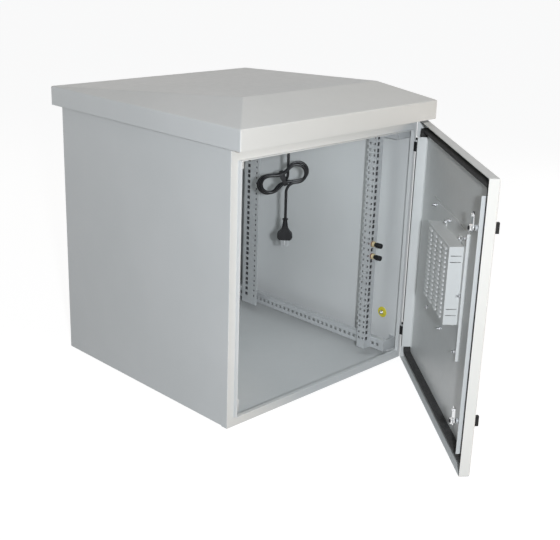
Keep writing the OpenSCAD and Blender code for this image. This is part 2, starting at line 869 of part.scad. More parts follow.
module door_leaf() {
    color(paint_door) on_door() {
        difference() {
            translate([-door_x, skin_y, door_z0]) cube([door_w, rim_d, door_h]);
            translate([-door_x + door_t, inner_y, door_z0 + door_t])
                cube([door_w - 2 * door_t, rim_d, door_h - 2 * door_t]);
            for (z = lock_z)
                translate([lock_x, skin_y - past, z]) bar_y(barrel_d / 2 + hole_clear, door_t + 2 * past);
            for (z = block_z)
                translate([door_x - door_t - past, notch_y, z - past])
                    cube([door_t + 2 * past, rim_d, lug_h + 2 * past]);
            for (i = [0:louvre_n - 1])
                translate([box_mid[0] - louvre_l / 2 + door_t, skin_y - past, louvre_z(i)])
                    cube([louvre_l - 2 * door_t, door_t + 2 * past, louvre_slot]);
        }
        for (i = [0:louvre_n - 1])
            louvre(louvre_z(i));
    }
}

module door_frame_outline(inset) {
    rect(-door_x + inset, door_x - inset, door_z0 + inset, door_z1 - inset);
}

module door_seal() {
    color(rubber) on_door() translate([0, inner_y, 0]) sheet_y(lip_y - seal_clear - inner_y) difference() {
        door_frame_outline(seal_in);
        door_frame_outline(seal_in + seal_w);
    }
}

// Upright angles that hold the seal along both sides of the door
module seal_angles() {
    x0 = door_x - seal_in - seal_w;
    long = door_h - 2 * angle_end;
    color(paint_door) on_door() for (side = [-1, 1])
        both_sides(side) translate([0, inner_y, door_z0 + angle_end]) {
            translate([x0 - angle_t, 0, 0]) cube([angle_t, angle_h, long]);
            translate([x0 - angle_t - angle_foot, 0, 0]) cube([angle_foot + eps, angle_t, long]);
        }
}

module at_studs() {
    for (x = [-1:1], z = [-1:1])
        if (abs(x) + abs(z) > 0)
            translate([x * stud_x, inner_y, vent_mid + z * stud_z]) children();
}

module vent_plate() {
    color(paint_door) on_door() {
        difference() {
            translate([0, inner_y, 0]) sheet_y(vent_t) difference() {
                rect(-vent_w / 2, vent_w / 2, vent_mid - vent_h / 2, vent_mid + vent_h / 2);
                translate(box_mid) square(vent_cut, center = true);
            }
            at_studs() translate([0, -past, 0]) bar_y(stud_d / 2 + hole_clear, vent_t + 2 * past);
        }
        translate([-vent_w / 2, inner_y, vent_mid - vent_h / 2]) cube([vent_t, vent_t + vent_lip, vent_h]);
    }
}

module vent_studs() {
    color(bright) on_door() at_studs() {
        bar_y(stud_d / 2, stud_l);
        translate([0, vent_t, 0]) sheet_y(bolt_head_h) hex(screw_head_d);
    }
}

module at_tabs() {
    for (x = [-1, 1], z = [-1, 1])
        translate([box_mid[0] + x * tab_x, vent_y, box_mid[1] + z * (box_h + tab_h) / 2]) children();
}

module louvre_box() {
    inside = [box_w - 2 * box_t, box_h - 2 * box_t];
    color(paint_door) on_door() {
        difference() {
            translate([0, vent_y, 0]) sheet_y(box_d) translate(box_mid) square([box_w, box_h], center = true);
            translate([0, vent_y - past, 0]) sheet_y(box_d - box_t + past) translate(box_mid)
                square(inside, center = true);
            translate([0, vent_y, 0]) sheet_y(box_d + past)
                for (c = [0:slot_cols - 1], r = [0:slot_rows - 1])
                    translate([box_mid[0] + (c - (slot_cols - 1) / 2) * slot_pitch_x,
                        box_mid[1] + (r - (slot_rows - 1) / 2) * slot_pitch_z])
                        square([slot_l, slot_h], center = true);
            for (s = side_slits)
                translate([box_mid[0] - box_w / 2 - past, vent_y + slit_in, box_mid[1] + s * box_h])
                    cube([box_w + 2 * past, box_d - 2 * slit_in, slit_h]);
        }
        at_tabs() sheet_y(box_t) difference() {
            square([tab_w, tab_h], center = true);
            circle(d = stud_d + 2 * hole_clear);
        }
    }
}

module box_screws() {
    color(bright) on_door() at_tabs() {
        bar_y(stud_d / 2, box_t + past);
        translate([0, box_t, 0]) bar_y(screw_head_d / 2, screw_head_h);
    }
}

module filter_mat() {
    inside = [box_w - 2 * box_t, box_h - 2 * box_t];
    color("#5b5e60") on_door() translate([0, vent_y, 0]) sheet_y(filter_t) translate(box_mid)
        square(inside - [filter_gap, filter_gap], center = true);
}

module at_lock(i) {
    on_door() translate([lock_x, 0, lock_z[i]]) children();
}

// Fixed part of a lock: outer plate, barrel through the door and its hex nut
module lock_barrel(i) {
    color(zinc) at_lock(i) difference() {
        union() {
            translate([0, skin_y - plate_h, 0]) bar_y(plate_d / 2, plate_h);
            translate([0, skin_y - plate_h, 0]) bar_y(barrel_d / 2, barrel_l + plate_h);
            translate([0, inner_y, 0]) sheet_y(nut_h) rotate(30) hex(barrel_nut);
        }
        translate([0, skin_y - plate_h - past, 0])
            bar_y(spindle_d / 2 + pin_clear, barrel_l + plate_h + 2 * past);
    }
}

// Turning part: knob with a grip bar and the spindle that reaches past the cam
module lock_knob(i) {
    face = skin_y - plate_h - slide_gap;
    color(black) at_lock(i) {
        translate([0, face - knob_base_h, 0]) bar_y(knob_d / 2, knob_base_h);
        translate([-grip_w / 2, face - knob_h, -grip_l / 2]) cube([grip_w, knob_h, grip_l]);
        translate([0, face - past, 0]) bar_y(spindle_d / 2, spindle_end - face + past);
    }
}

module lock_cam(i) {
    color(bright) at_lock(i) {
        translate([0, cam_y, 0]) difference() {
            sheet_y(cam_t) {
                circle(d = cam_hub_d);
                rect(-cam_w / 2, cam_w / 2, 0, cam_reach - cam_w / 2);
                translate([0, cam_reach - cam_w / 2]) circle(d = cam_w);
            }
            translate([0, -past, 0]) bar_y(spindle_d / 2 + pin_clear, cam_t + 2 * past);
        }
        translate([0, cam_y + cam_t - eps, cam_reach - cam_w / 2]) bar_y(cam_boss_d / 2, cam_boss_h);
    }
}

module lock_nut(i) {
    color(bright) at_lock(i) translate([0, cam_y + cam_t, 0]) difference() {
        sheet_y(nut_h) hex(nut_across);
        translate([0, -past, 0]) bar_y(spindle_d / 2 + pin_clear, nut_h + 2 * past);
    }
}

body_shell();
front_frame();
rain_roof();
roof_brackets();
roof_bolts();
color(zinc) both_sides(-1) depth_rail(depth_z[0]);  // depth_rail_lower_left
color(zinc) depth_rail(depth_z[0]);  // depth_rail_lower_right
color(zinc) both_sides(-1) depth_rail(depth_z[1]);  // depth_rail_upper_left
color(zinc) depth_rail(depth_z[1]);  // depth_rail_upper_right
color(zinc) both_sides(-1) front_rail();  // rack_rail_front_left
color(zinc) front_rail();  // rack_rail_front_right
color(zinc) both_sides(-1) rear_rail();  // rack_rail_rear_left
color(zinc) rear_rail();  // rack_rail_rear_right
rail_bolts();
terminal_posts();
terminal_collars();
terminal_tails();
earth_disc();
earth_stud();
color(black) at_fan(-1) fan_housing();  // fan_housing_left
color(black) at_fan(1) fan_housing();  // fan_housing_right
color(black) at_fan(-1) fan_rotor();  // fan_rotor_left
color(black) at_fan(1) fan_rotor();  // fan_rotor_right
color(bright) at_fan(-1) fan_guard();  // fan_guard_left
color(bright) at_fan(1) fan_guard();  // fan_guard_right
fan_screws();
cord_gland();
cord_lead();
cord_hank();
cord_tail();
cord_tie();
plug_body();
plug_pins();
hinge_block(0);  // hinge_block_lower
hinge_block(1);  // hinge_block_upper
hinge_ear(0);  // hinge_ear_lower
hinge_ear(1);  // hinge_ear_upper
hinge_pin(0);  // hinge_pin_lower
hinge_pin(1);  // hinge_pin_upper
door_leaf();
door_seal();
seal_angles();
vent_plate();
vent_studs();
louvre_box();
box_screws();
filter_mat();
lock_barrel(0);  // lock_barrel_lower
lock_barrel(1);  // lock_barrel_upper
lock_knob(0);  // lock_knob_lower
lock_knob(1);  // lock_knob_upper
lock_cam(0);  // lock_cam_lower
lock_cam(1);  // lock_cam_upper
lock_nut(0);  // lock_nut_lower
lock_nut(1);  // lock_nut_upper
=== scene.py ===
# %% [markdown]
# # An outdoor wall-mounted rack cabinet
# The CAD model gives every plate, rail and hinge its place, in metres. This lesson dresses it: the sheets get
# soft folds and powder coat, the fasteners get drives and washers, and the power lead becomes one real cord.
# The first cell loads the frame.

# %% Load the frame
import json
import math

import bmesh
import bpy
from mathutils import Matrix, Quaternion, Vector


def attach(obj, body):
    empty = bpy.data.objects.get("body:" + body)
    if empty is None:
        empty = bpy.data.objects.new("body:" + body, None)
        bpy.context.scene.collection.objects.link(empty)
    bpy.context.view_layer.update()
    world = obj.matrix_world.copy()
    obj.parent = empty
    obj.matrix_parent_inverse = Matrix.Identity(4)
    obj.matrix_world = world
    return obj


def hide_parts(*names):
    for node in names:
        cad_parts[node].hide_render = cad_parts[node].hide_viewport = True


MM = 0.001
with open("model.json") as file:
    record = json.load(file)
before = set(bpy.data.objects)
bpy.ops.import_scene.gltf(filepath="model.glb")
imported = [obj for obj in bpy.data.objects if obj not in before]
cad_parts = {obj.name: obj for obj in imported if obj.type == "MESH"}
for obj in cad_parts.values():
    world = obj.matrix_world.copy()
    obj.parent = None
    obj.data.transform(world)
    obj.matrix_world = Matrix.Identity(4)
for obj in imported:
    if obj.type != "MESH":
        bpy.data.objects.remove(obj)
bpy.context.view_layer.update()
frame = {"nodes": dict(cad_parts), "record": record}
nodes = frame["nodes"]
body_of = {n: b for b, members in frame["record"]["behaviour"]["bodies"].items() for n in members}
slot_of = {s["node"]: s["material_slot"] for s in frame["record"]["subparts"]}

# %% [markdown]
# ## Camera
# The photograph looks from the front left and a little from above. A camera can be aimed at a target, but this
# one was solved from the cabinet's straight edges, so it is written out as a place, a direction and a small roll.

# %% Place the camera
CAMERA_PLACE = Vector((-1.6085, -1.7294, 1.0312))
CAMERA_AZIMUTH, CAMERA_ELEVATION, CAMERA_ROLL = (math.radians(a) for a in (45.55, -18.87, 1.97))
CAMERA_LENS = 63.94


def added(name, data):
    """A new object in the scene."""
    obj = bpy.data.objects.new(name, data)
    bpy.context.scene.collection.objects.link(obj)
    return obj


def aim(obj, direction, roll=0.0):
    """Turns a camera or a lamp, which both look along their own -Z."""
    obj.rotation_mode = "QUATERNION"
    obj.rotation_quaternion = direction.to_track_quat("-Z", "Y") @ Quaternion((0, 0, 1), roll)


level = math.cos(CAMERA_ELEVATION)
look = Vector((math.sin(CAMERA_AZIMUTH) * level, math.cos(CAMERA_AZIMUTH) * level, math.sin(CAMERA_ELEVATION)))
camera = added("camera", bpy.data.cameras.new("camera"))
camera.data.lens = CAMERA_LENS
camera.location = CAMERA_PLACE
aim(camera, look, CAMERA_ROLL)
bpy.context.scene.camera = camera
print("camera at", [round(c, 3) for c in camera.location])

# %% [markdown]
# ## Lamps
# Cool light from the camera's side falls on the left wall and into the box, and warm light from straight ahead
# falls on the frame and the front of the roof. The cool lamp is small, so that the lead throws a shadow on the
# wall. Weak lamps above, at the right and behind keep the other sides readable, and a faint one under the
# ceiling lifts the inside. Area lamps are used because their edges of shade are as soft as the lamp is wide.

# %% Hang the lamps
LAMPS = (  # name, place, target, width, watts, colour
    ("key_lamp", (-1.62, -2.0, 1.1), (0.1, 0.0, 0.3), 0.1, 47, (0.9, 0.945, 1.0)),
    ("front_lamp", (0.2, -3.0, 1.0), (0.0, -0.2, 0.3), 1.2, 24, (1.0, 0.79, 0.56)),
    ("top_lamp", (-0.4, 1.4, 2.6), (0.0, 0.0, 0.6), 2.0, 5.2, (1.0, 0.76, 0.52)),
    ("side_lamp", (2.7, -0.5, 0.8), (0.3, 0.0, 0.3), 1.0, 10, (1.0, 0.98, 0.95)),
    ("back_lamp", (-0.9, 3.0, 0.45), (0.0, 0.0, 0.3), 0.8, 12, (1.0, 0.98, 0.95)),
    ("inner_lamp", (0.0, -0.14, 0.6), (0.0, 0.0, 0.0), 0.18, 0.55, (0.91, 0.97, 1.0)),
)


def lamp(name, place, target, width, watts, colour):
    data = bpy.data.lights.new(name, "AREA")
    data.shape = "DISK"
    data.size = width
    data.energy = watts
    data.color = colour
    obj = added(name, data)
    obj.location = place
    aim(obj, Vector(target) - Vector(place))
    return obj


lamps = {row[0]: lamp(*row) for row in LAMPS}
lamps["inner_lamp"].visible_camera = False
print("lamps:", ", ".join(lamps))

# %% [markdown]
# ## World and floor
# A white background could come from more light, but that would bleach the cabinet. So the world is white only
# to the camera, to reflections and through glass, and a dim sky to everything else. The floor works the same
# way: the camera sees it pale with the cabinet's shadow, and the light that it throws back is a darker grey's.

# %% Set the world and the floor
AMBIENT, AMBIENT_COLOUR, WHITE = 0.25, (0.93, 0.965, 1.0, 1), (1, 1, 1, 1)
FLOOR_GREY, FLOOR_BOUNCE, FLOOR_GLOW, GLOW_SHARE = 0.5, 0.28, 1.5, 0.6
FLOOR_HALF, FLOOR_DROP = 40.0, -0.5 * MM


def fill(tree, node, inputs):
    """Gives inputs of a node a value or a link each."""
    for key, value in inputs.items():
        if isinstance(value, bpy.types.NodeSocket):
            tree.links.new(value, node.inputs[key])
        else:
            node.inputs[key].default_value = value
    return node


def put(tree, kind, inputs=(), **settings):
    """A new node with its settings and inputs."""
    node = tree.nodes.new(kind)
    for key, value in settings.items():
        setattr(node, key, value)
    return fill(tree, node, dict(inputs))


def cleared(data):
    """The emptied node tree of a world or a material."""
    data.use_nodes = True
    data.node_tree.nodes.clear()
    return data.node_tree


def split_view(tree, gathered, seen, output):
    """Shows one shader to camera, mirror and glass rays, and another where light is gathered."""
    path = put(tree, "ShaderNodeLightPath").outputs
    directly = path["Is Camera Ray"]
    for kind in ("Is Glossy Ray", "Is Transmission Ray"):
        directly = put(tree, "ShaderNodeMath", {0: directly, 1: path[kind]}, operation="MAXIMUM").outputs[0]
    mix = put(tree, "ShaderNodeMixShader", {0: directly, 1: gathered.outputs[0], 2: seen.outputs[0]})
    put(tree, output, {0: mix.outputs[0]})


world = bpy.data.worlds.new("studio")
bpy.context.scene.world = world
tree = cleared(world)
ambient = put(tree, "ShaderNodeBackground", {"Color": AMBIENT_COLOUR, "Strength": AMBIENT})
backdrop = put(tree, "ShaderNodeBackground", {"Color": WHITE, "Strength": 1})
split_view(tree, ambient, backdrop, "ShaderNodeOutputWorld")

floor_paint = bpy.data.materials.new("studio_floor")
tree = cleared(floor_paint)
matt, bounce = (put(tree, "ShaderNodeBsdfDiffuse", {"Color": (g, g, g, 1)}) for g in (FLOOR_GREY, FLOOR_BOUNCE))
glow = put(tree, "ShaderNodeEmission", {"Color": WHITE, "Strength": FLOOR_GLOW})
pale = put(tree, "ShaderNodeMixShader", {0: GLOW_SHARE, 1: matt.outputs[0], 2: glow.outputs[0]})
split_view(tree, bounce, pale, "ShaderNodeOutputMaterial")

floor_mesh = bpy.data.meshes.new("floor")
floor_corners = [(x * FLOOR_HALF, y * FLOOR_HALF, FLOOR_DROP) for x, y in ((-1, -1), (1, -1), (1, 1), (-1, 1))]
floor_mesh.from_pydata(floor_corners, [], [(0, 1, 2, 3)])
floor_mesh.materials.append(floor_paint)
added("floor", floor_mesh)
bpy.context.scene.view_settings.view_transform = "Standard"
print("world and floor are set")

# %% [markdown]
# ## How a finish is made
# Each finish is a Principled surface with three kinds of detail: a slow drift of colour, a finer change of
# roughness, and a bump. All of them read Object coordinates, which are metres here, so a scale of 1000 is a
# millimetre. A photograph of paint would look right from one side only, so the detail comes from noise.

# %% Define a finish
NOISE_LOW, NOISE_HIGH = 0.3, 0.7  # most of a noise lies between these
ROUGH_SCALE = 60.0
finishes = {}


def noise(tree, coords, scale, detail=2.0):
    return put(tree, "ShaderNodeTexNoise", {"Vector": coords, "Scale": scale, "Detail": detail}).outputs["Fac"]


def shades(tree, value, dark, light):
    """Turns a noise into colours between two shades."""
    node = put(tree, "ShaderNodeValToRGB", {"Fac": value})
    for element, position, colour in zip(node.color_ramp.elements, (NOISE_LOW, NOISE_HIGH), (dark, light)):
        element.position = position
        element.color = (*colour, 1)
    return node.outputs["Color"]


def finish(name, dark, light, rough, drift=4.0, grain=900.0, bump=0.1, depth=0.0002, metal=0.0, specular=0.5,
           inside=None):
    """A surface between two shades; where the mesh is marked, a dark painted shade replaces its colour."""
    material = bpy.data.materials.new(name)
    material.use_nodes = True
    tree = material.node_tree
    coords = put(tree, "ShaderNodeTexCoord").outputs["Object"]
    colour = shades(tree, noise(tree, coords, drift, 3.0), dark, light)
    # Where the mesh is marked, the colour gives way to a dark painted shade.
    if inside is not None:
        mark = put(tree, "ShaderNodeAttribute", attribute_name="inside").outputs["Fac"]
        colour = put(tree, "ShaderNodeMix", {0: mark, 6: colour, 7: (*inside, 1)}, data_type="RGBA").outputs[2]
    roughness = put(tree, "ShaderNodeMapRange", {
        "Value": noise(tree, coords, ROUGH_SCALE), "From Min": NOISE_LOW, "From Max": NOISE_HIGH,
        "To Min": rough[0], "To Max": rough[1]})
    relief = put(tree, "ShaderNodeBump", {
        "Strength": bump, "Distance": depth, "Height": noise(tree, coords, grain)})
    fill(tree, tree.nodes["Principled BSDF"], {
        "Base Color": colour, "Metallic": metal, "Specular IOR Level": specular,
        "Roughness": roughness.outputs["Result"], "Normal": relief.outputs["Normal"]})
    finishes[name] = material


print("finishes can be mixed")

# %% [markdown]
# ## Finishes
# The cabinet wears a pale powder coat with an orange-peel skin about a millimetre wide. The rails are dull zinc,
# with a dark painted shade on the faces inside their channels, so that their holes look dark. Fasteners are bright
# zinc, cams are chromed, and plastic, rubber and foam differ in how dark, rough and grainy they are.

# %% Mix the finishes
finish("body_paint", (0.585, 0.60, 0.595), (0.625, 0.635, 0.63), (0.36, 0.46), grain=850, bump=0.12)
finish("door_paint", (0.60, 0.615, 0.605), (0.64, 0.65, 0.64), (0.34, 0.44), grain=850, bump=0.12)
# The rails' channel faces get a near-black painted shade in place of the shadow that falls inside them.
finish("rail_zinc", (0.575, 0.59, 0.595), (0.61, 0.625, 0.63), (0.36, 0.46), drift=90, grain=700, bump=0.05,
       metal=0.35, inside=(0.10, 0.103, 0.106))
finish("bright_zinc", (0.62, 0.63, 0.65), (0.74, 0.75, 0.77), (0.20, 0.34), drift=300, grain=1800, bump=0.06,
       metal=1.0)
finish("chrome", (0.72, 0.73, 0.74), (0.80, 0.81, 0.82), (0.08, 0.16), drift=80, grain=1500, bump=0.03, metal=1.0)
finish("black_plastic", (0.010, 0.010, 0.011), (0.018, 0.018, 0.019), (0.42, 0.58), drift=60, grain=2200,
       bump=0.14, specular=0.2)
finish("black_metal", (0.012, 0.012, 0.012), (0.022, 0.022, 0.023), (0.32, 0.44), drift=80, grain=1400)
finish("cord_rubber", (0.008, 0.008, 0.009), (0.014, 0.014, 0.015), (0.28, 0.36), drift=70, grain=1900,
       bump=0.08, specular=0.3)
finish("seal_rubber", (0.030, 0.030, 0.030), (0.058, 0.057, 0.056), (0.78, 0.92), drift=220, grain=2600,
       bump=0.5, depth=0.0004, specular=0.25)
finish("filter", (0.10, 0.10, 0.10), (0.34, 0.34, 0.33), (0.85, 0.98), drift=900, grain=1500, bump=0.8,
       depth=0.0008, specular=0.2)
finish("yellow", (0.63, 0.54, 0.035), (0.73, 0.65, 0.06), (0.22, 0.34), drift=60, grain=700, bump=0.04)
finish("cream", (0.50, 0.42, 0.24), (0.58, 0.49, 0.30), (0.36, 0.5), drift=120, grain=1500, bump=0.08)
finish("red_brown", (0.13, 0.030, 0.014), (0.19, 0.048, 0.022), (0.36, 0.5), drift=120, grain=1500, bump=0.08)
for name, obj in nodes.items():
    obj.data.materials.clear()
    obj.data.materials.append(finishes[slot_of[name]])
print("finishes:", ", ".join(finishes))

# %% [markdown]
# ## From a bmesh to a piece
# Every piece starts as a bmesh, because faces can be added and bevelled there without selecting anything. A
# finished piece is a plain mesh at the origin. It rides on the body of the CAD node that it stands for, so it
# moves with the door, a lock or a fan. The door's pieces are drawn shut and then turned to the open rest pose.

# %% Helpers that finish a piece
PIVOT = Vector((0.296, -0.306, 0))
DOOR_REST = math.radians(50)
DOOR = Matrix.Translation(PIVOT) @ Matrix.Rotation(DOOR_REST, 4, "Z") @ Matrix.Translation(-PIVOT)
STILL = Matrix.Identity(4)
BACK, LEFT, TOP, DOWN = (Vector(v) for v in ((0, 1, 0), (-1, 0, 0), (0, 0, 1), (0, 0, -1)))
SIDES = (-1, 1)


def mm(x, y, z):
    return Vector((x, y, z)) * MM


def shift(x, y, z):
    return Matrix.Translation(mm(x, y, z))


def spin(angle, axis):
    return Matrix.Rotation(angle, 4, axis)


def settled(obj):
    """Turns an object and its modifiers into one plain mesh."""
    graph = bpy.context.evaluated_depsgraph_get()
    mesh = bpy.data.meshes.new_from_object(obj.evaluated_get(graph))
    obj.modifiers.clear()
    obj.data = mesh
    return obj


def bare(name, work, sharp=35, place=STILL):
    """An object from a bmesh, smooth up to an angle, without a finish or a body."""
    bmesh.ops.recalc_face_normals(work, faces=work.faces)
    mesh = bpy.data.meshes.new(name)
    work.to_mesh(mesh)
    work.free()
    mesh.transform(place)
    mesh.shade_smooth()
    mesh.set_sharp_from_angle(angle=math.radians(sharp))
    return added(name, mesh)


def ready(obj, replaced):
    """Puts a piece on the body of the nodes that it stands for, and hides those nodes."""
    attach(obj, body_of[replaced[0]])
    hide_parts(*replaced)
    return obj


def piece(name, work, slot, replaced, place=STILL, sharp=35, weighted=False):
    """Makes one finished piece from a bmesh."""
    obj = bare(name, work, sharp, place)
    obj.data.materials.append(finishes[slot])
    if weighted:
        even = obj.modifiers.new("even", "WEIGHTED_NORMAL")
        even.keep_sharp = True
        even.weight = 100
        settled(obj)
    return ready(obj, replaced)


def stands_for(node, name, work, **options):
    """A piece in the slot of the one node that it stands for."""
    return piece(name, work, slot_of[node], [node], **options)


print("the door rests", round(math.degrees(DOOR_REST)), "degrees open")

# %% [markdown]
# ## The power lead: its hank
# One black lead leaves the gland in the top panel, drops straight down and is folded into a hank that a tie
# holds in the middle. A cord has to keep its length, so it is drawn as one line of short steps: the hank is a
# flat oval, wound in four lanes one behind the other and pinched at the tie. Distances in the hank run along
# it (a), across it (b) and into the cabinet (d), in millimetres.

# %% Lay out the hank
QUARTER = math.pi / 2
HANK_MID, HANK_TILT, HANK_TURN = mm(115, -40, 448), math.radians(25), math.radians(45)
ALONG = Vector((math.cos(HANK_TURN), -math.sin(HANK_TURN), 0))
INWARD = Vector((math.sin(HANK_TURN), math.cos(HANK_TURN), 0))
LANES = (10.6, 3.3, -4.0, -11.3)
WAIST, STEP = 12.0, 2.5
LEFT_FOLDS = ((-44.0, -1.0, 23.6), (-39.5, 1.0, 22.4), (-36.0, -0.5, 21.8))  # middle a, middle b, radius
RIGHT_FOLDS = ((35.0, -2.0, 21.6), (41.0, 3.0, 22.8), (36.5, 0.0, 22.0))


def hank_point(a, b, d):
    along = ALONG * math.cos(HANK_TILT) + TOP * math.sin(HANK_TILT)
    across = TOP * math.cos(HANK_TILT) - ALONG * math.sin(HANK_TILT)
    return HANK_MID + (along * a + across * b + INWARD * d) * MM


def eased(t):
    return (1 - math.cos(math.pi * t)) / 2


def arc(radius, x, y, first, sweep, steps):
    """The points of an arc, with both ends."""
    turns = [first + sweep * k / steps for k in range(steps + 1)]
    return [(x + radius * math.cos(turn), y + radius * math.sin(turn)) for turn in turns]


def run(a0, b0, a1, b1, d):
    """A run of the hank that eases from one level to another."""
    count = max(2, round(abs(a1 - a0) / STEP))
    return [hank_point(a0 + (a1 - a0) * i / count, b0 + (b1 - b0) * eased(i / count), d)
            for i in range(1, count + 1)]


def bend(centre, start, d0, d1, sweep=math.pi):
    """A clockwise bend that eases from one lane to another."""
    a, b, radius = centre
    count = round(sweep * radius / STEP)
    return [hank_point(*spot, d0 + (d1 - d0) * eased(i / count))
            for i, spot in enumerate(arc(radius, a, b, start, -sweep, count))]


print("hank of", len(LEFT_FOLDS), "turns in", len(LANES), "lanes")

# %% [markdown]
# ## The power lead: its line
# The drop bends into the lower run on an arc of four diameters, and the last run leaves the right fold, turns
# down on a similar arc and eases into the plug. Arcs are stepped here rather than left to a spline's handles,
# because then no bend is tighter than it is written.

# %% Draw the lead's line
CORD_EXIT, PLUG_TOP = mm(130, -40, 606), mm(115, -51, 346)
ENTRY = (-12.4, 14.5, 28.0)  # middle a, middle b, radius
EXIT_START, EXIT_RADIUS = 25.0, 26.0


def exit_arc(a, b, heading, d):
    """The bend from the last run down to the tail, in steps that turn by the same angle."""
    last = 1.5 * math.pi - HANK_TILT
    count = round(EXIT_RADIUS * (last - heading) / STEP)
    turn = (last - heading) / count
    points = []
    for _ in range(count):
        heading += turn / 2
        a += EXIT_RADIUS * turn * math.cos(heading)
        b += EXIT_RADIUS * turn * math.sin(heading)
        heading += turn / 2
        points.append(hank_point(a, b, d))
    return points


def tail(start):
    """The drop to the plug, which eases sideways."""
    count = round((start.z - PLUG_TOP.z) / MM / STEP)
    points = []
    for i in range(1, count + 1):
        point = start.lerp(PLUG_TOP, eased(i / count))
        point.z = start.z + (PLUG_TOP.z - start.z) * i / count
        points.append(point)
    return points


def exit_run(d):
    """The last run: it leaves the right fold, turns down and ends at the plug."""
    right, middle, radius = RIGHT_FOLDS[-1]
    low, rise = middle - radius, radius - middle - WAIST
    way = right - EXIT_START
    share, count = way / right, round(way / STEP)
    points = [hank_point(right - way * i / count, low + rise * eased(share * i / count), d)
              for i in range(1, count + 1)]
    slope = rise / 2 * math.sin(math.pi * share) * math.pi / right
    points += exit_arc(EXIT_START, low + rise * eased(share), math.pi - math.atan(slope), d)
    return points + tail(points[-1])


def lead_line():
    entry = bend(ENTRY, -HANK_TILT, LANES[0], LANES[0], QUARTER - HANK_TILT)
    drop = round((CORD_EXIT.z - entry[0].z) / MM / STEP)
    points = [CORD_EXIT.lerp(entry[0], i / drop) for i in range(drop)] + entry
    start = (ENTRY[0], ENTRY[1] - ENTRY[2])
    for turn, (left, right) in enumerate(zip(LEFT_FOLDS, RIGHT_FOLDS)):
        lane = LANES[turn + 1]
        points += run(*start, left[0], left[1] - left[2], LANES[turn])
        points += bend(left, -QUARTER, LANES[turn], lane)[1:]
        points += run(left[0], left[1] + left[2], 0, WAIST, lane)
        points += run(0, WAIST, right[0], right[1] + right[2], lane)
        points += bend(right, QUARTER, lane, lane)[1:]
        if turn + 1 < len(LEFT_FOLDS):
            points += run(right[0], right[1] - right[2], 0, -WAIST, lane)
            start = (0, -WAIST)
    return points + exit_run(LANES[-1])


line = lead_line()

# %% [markdown]
# ## The power lead: its jacket
# The jacket is a round rubber tube. A curve with a bevel sweeps it along the line and keeps it one open spline,
# from which its length and its bends can be measured.

# %% Sweep the lead
CORD_DIAMETER = 7 * MM
JACKET_STEPS = 5
curve = bpy.data.curves.new("power_lead", "CURVE")
curve.dimensions = "3D"
curve.bevel_depth = CORD_DIAMETER / 2
curve.bevel_resolution = JACKET_STEPS
curve.use_fill_caps = True
spline = curve.splines.new("POLY")
spline.points.add(len(line) - 1)
for point, place in zip(spline.points, line):
    point.co = (*place, 1)
spline.use_smooth = True
curve.materials.append(finishes["cord_rubber"])
power_lead = added("power_lead", curve)
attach(power_lead, "cabinet")
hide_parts("cord_lead", "cord_hank", "cord_tail")
print("power lead", round(CORD_DIAMETER / MM, 1), "mm thick")

# %% [markdown]
# ## Soft folds
# A CAD mesh has knife-sharp folds. Folded sheet has a small radius instead, and that radius catches a line of
# light. A bevel modifier would round the cut edges of the sheet too, so `softened` picks only the folds: long
# convex edges between two wide faces. `rounded` takes every convex edge and is for small solid castings.

# %% Helpers that round edges
WELD, FLAT = 0.02 * MM, math.radians(1)


def joined(node):
    """A bmesh copy of a CAD mesh, with its vertices joined and its flat triangles merged."""
    work = bmesh.new()
    work.from_mesh(nodes[node].data)
    work.transform(nodes[node].matrix_world)
    bmesh.ops.remove_doubles(work, verts=work.verts, dist=WELD)
    bmesh.ops.dissolve_limit(work, angle_limit=FLAT, verts=work.verts, edges=work.edges)
    return work


def bent(edge, least):
    """Whether two faces meet at an edge at more than some degrees."""
    return len(edge.link_faces) == 2 and edge.calc_face_angle() > math.radians(least)


def round_off(work, edges, radius, segments):
    bmesh.ops.bevel(work, geom=edges, offset=radius * MM, offset_type="OFFSET", segments=segments, profile=0.5,
                    affect="EDGES", clamp_overlap=True)


def softened(node, radius, least_angle=30, least_length=40, least_width=6, segments=4, kind="_sheet"):
    work = joined(node)
    folds = []
    for edge in work.edges:
        length = edge.calc_length()
        if bent(edge, least_angle) and edge.is_convex and length > least_length * MM:
            if min(face.calc_area() for face in edge.link_faces) / length > least_width * MM:
                folds.append(edge)
    round_off(work, folds, radius, segments)
    return stands_for(node, node + kind, work, weighted=True)


def rounded(node, radius, segments=2):
    return softened(node, radius, least_length=0, least_width=0, segments=segments, kind="_solid")


print("folds can be softened")

# %% [markdown]
# ## Box, frame, roof and rails
# The box and the roof are folded from steel sheet and welded at the corners. The front frame wraps round the
# box and carries a forward lip, which presses into the door's seal and keeps rain out. The roof overhangs on
# all sides; its hips are flat folds, so they are found at a smaller angle. The rails are punched channels.
# Their CAD shapes are right, so only the folds are softened, and the faces inside the rails' channels are marked
# for a painted shade.
# Their CAD shapes are right, so only the folds are softened, and the insides of the rails are marked.

# %% Soften the body
ALONG_Y, ALONG_Z = 1, 2
FOOT_X, INSIDE_REACH = 290 * MM, 2 * MM


def mark_inside(obj, length_axis):
    """Marks the faces that look into a channel for a painted shade; its feet on the wall are left out."""
    mesh = obj.data
    corners = [vertex.co for vertex in mesh.vertices]
    middle = Vector([(min(c[i] for c in corners) + max(c[i] for c in corners)) / 2 for i in range(3)])
    shade_marks = []
    for face in mesh.polygons:
        inward = middle - face.center
        inward[length_axis] = 0
        # 1 marks a face that gets the painted shade, 0 one that keeps the plain zinc.
        shade_marks.append(float(face.normal.dot(inward) > INSIDE_REACH and abs(face.center.x) < FOOT_X))
    mesh.attributes.new("inside", "FLOAT", "FACE").data.foreach_set("value", shade_marks)


